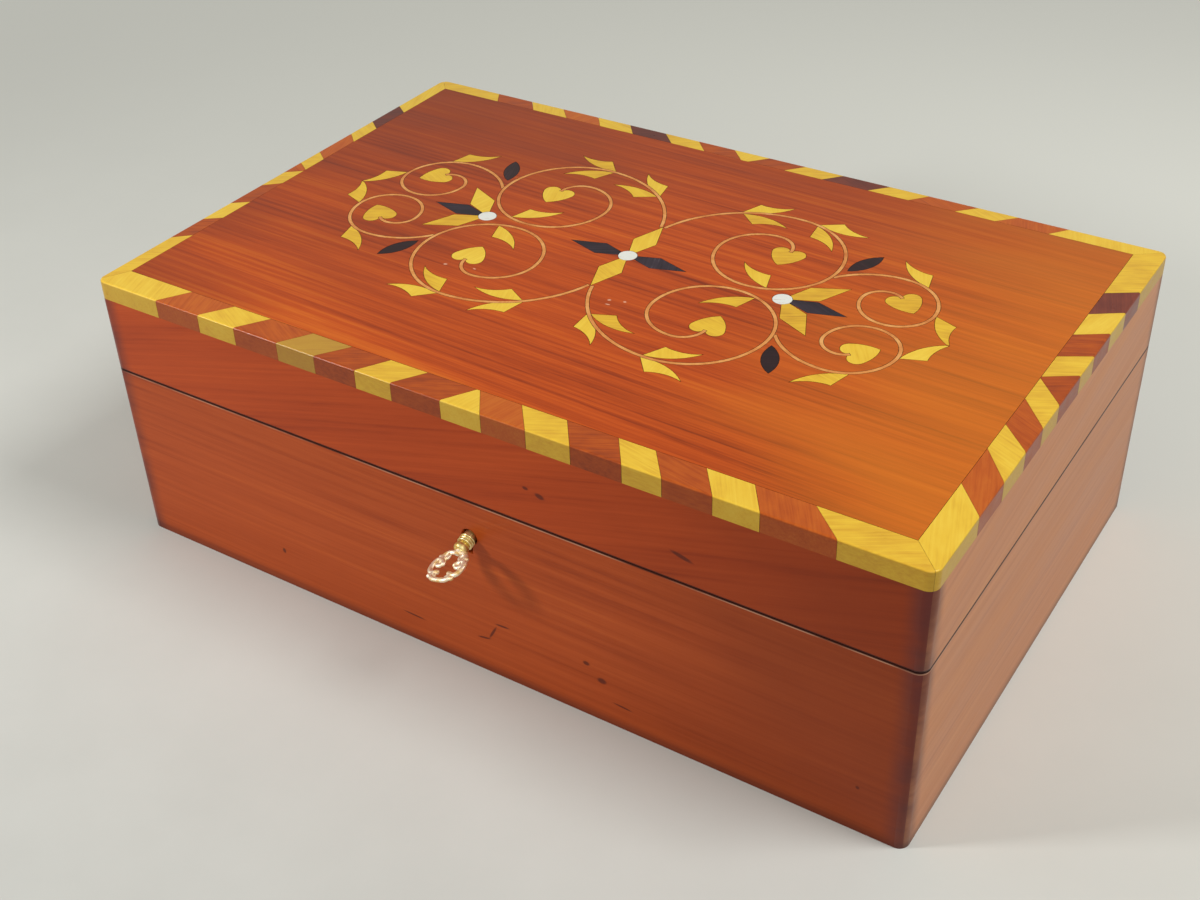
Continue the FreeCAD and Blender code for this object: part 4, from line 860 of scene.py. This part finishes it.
def make_floor():
    """Pale grey paper, rolled smooth and matt: an even ground, wide enough for any view, with painted light
    that pales it towards the back. Far from the box the camera sees it at one tone."""
    material, tree, shader, place = start_material("paper_pale_grey")
    fibre = grain(tree, place, PAPER_CLOUDS, FINEST)
    colour = add(tree, "ShaderNodeValToRGB", {"Fac": fibre}, PAPER_STOPS).outputs["Color"]
    away = add(tree, "ShaderNodeSeparateXYZ", {"Vector": place}).outputs["Y"]
    # painted light: the paper paler towards the back
    colour = stain(tree, colour, PAPER_PAINTED_LIGHT, (away, PAINTED_LIGHT_FROM, PAINTED_LIGHT_AT))
    tree.links.new(colour, shader.inputs["Base Color"])
    shader.inputs["Roughness"].default_value = PAPER_ROUGHNESS
    shader.inputs["Specular IOR Level"].default_value = PAPER_SPECULAR
    far = add(tree, "ShaderNodeVectorMath", {0: place}, operation="LENGTH").outputs["Value"]
    seen = add(tree, "ShaderNodeLightPath").outputs["Is Camera Ray"]
    share = share_where(tree, (far, EVEN_FROM, EVEN_AT), seen)
    even = add(tree, "ShaderNodeEmission", {"Color": linear(EVEN_PAPER)}).outputs["Emission"]
    paper = add(tree, "ShaderNodeMixShader", {0: share, 1: shader.outputs["BSDF"], 2: even}).outputs["Shader"]
    tree.links.new(paper, tree.nodes["Material Output"].inputs["Surface"])
    sheet = bmesh.new()
    bmesh.ops.create_circle(sheet, cap_ends=True, segments=FLOOR_STEPS, radius=FLOOR_RADIUS)
    add_mesh("floor", sheet, material)


def make_world():
    """An even pale surround. Camera, mirror and glass rays see it at the paper's own tone."""
    world = bpy.data.worlds.new("studio")
    bpy.context.scene.world = world
    world.use_nodes = True
    tree = world.node_tree
    path = add(tree, "ShaderNodeLightPath").outputs
    seen = path["Is Camera Ray"]
    for ray in ("Is Glossy Ray", "Is Transmission Ray"):
        seen = add(tree, "ShaderNodeMath", {0: seen, 1: path[ray]}, operation="MAXIMUM").outputs[0]
    strength = add(tree, "ShaderNodeMapRange", {"Value": seen, "To Min": WORLD_LIGHT, "To Max": WORLD_SEEN})
    back = tree.nodes["Background"]
    back.inputs["Color"].default_value = linear(SURROUND)
    tree.links.new(strength.outputs["Result"], back.inputs["Strength"])


def make_lamps():
    """Square soft lamps, each turned towards its aim."""
    for name, place, aim, size, watts in LAMPS:
        lamp = bpy.data.lights.new(name, "AREA")
        lamp.size = size
        lamp.energy = watts
        holder = bpy.data.objects.new(name, lamp)
        holder.location = place
        holder.rotation_euler = (Vector(aim) - Vector(place)).to_track_quat("-Z", "Y").to_euler()
        bpy.context.scene.collection.objects.link(holder)


def make_camera():
    """The camera at the photograph's place, lens and slight roll."""
    camera = bpy.data.cameras.new("camera")
    camera.sensor_width = SENSOR_WIDTH
    camera.lens = FOCAL_PIXELS / PHOTO_WIDTH * SENSOR_WIDTH
    camera.clip_start = CAMERA_NEAREST
    holder = bpy.data.objects.new("camera", camera)
    level, fall = math.cos(CAMERA_ELEVATION), math.sin(CAMERA_ELEVATION)
    ahead = Vector((-math.sin(CAMERA_AZIMUTH) * level, math.cos(CAMERA_AZIMUTH) * level, -fall))
    across = ahead.cross(Vector((0, 0, 1))).normalized()
    upward = across.cross(ahead)
    rolled = math.cos(CAMERA_ROLL) * across + math.sin(CAMERA_ROLL) * upward
    tall = math.cos(CAMERA_ROLL) * upward - math.sin(CAMERA_ROLL) * across
    axes = Matrix((rolled, tall, -ahead)).transposed().to_4x4()
    holder.matrix_world = Matrix.Translation(CAMERA_PLACE) @ axes
    bpy.context.scene.collection.objects.link(holder)
    bpy.context.scene.camera = holder


finish_walls()
finish_lid_top()
finish_small_woods()
finish_strings()
finish_pearls()
finish_plain_wood()
finish_metals()
# brass, turned: bright gold heads with brown spots
make_screws(metal("brass_screw_turned", "#d8b46a", "#86622f", roughness=0.25, spot_size=2.0))
# brass, turned and gilt: pale gold with duller spots
make_shank(metal("brass_turned_gilt", "#f6e6a8", "#c8a458", roughness=0.32, spot_size=2.5))
# cast metal, its gilding worn: a warm silvery white with spots of gold left
make_bow(metal("gilt_cast_worn_silver", "#fff0da", "#dcb878", roughness=0.45, spot_size=2.2))
make_floor()
make_world()
make_lamps()
make_camera()
bpy.context.scene.view_settings.view_transform = "Standard"
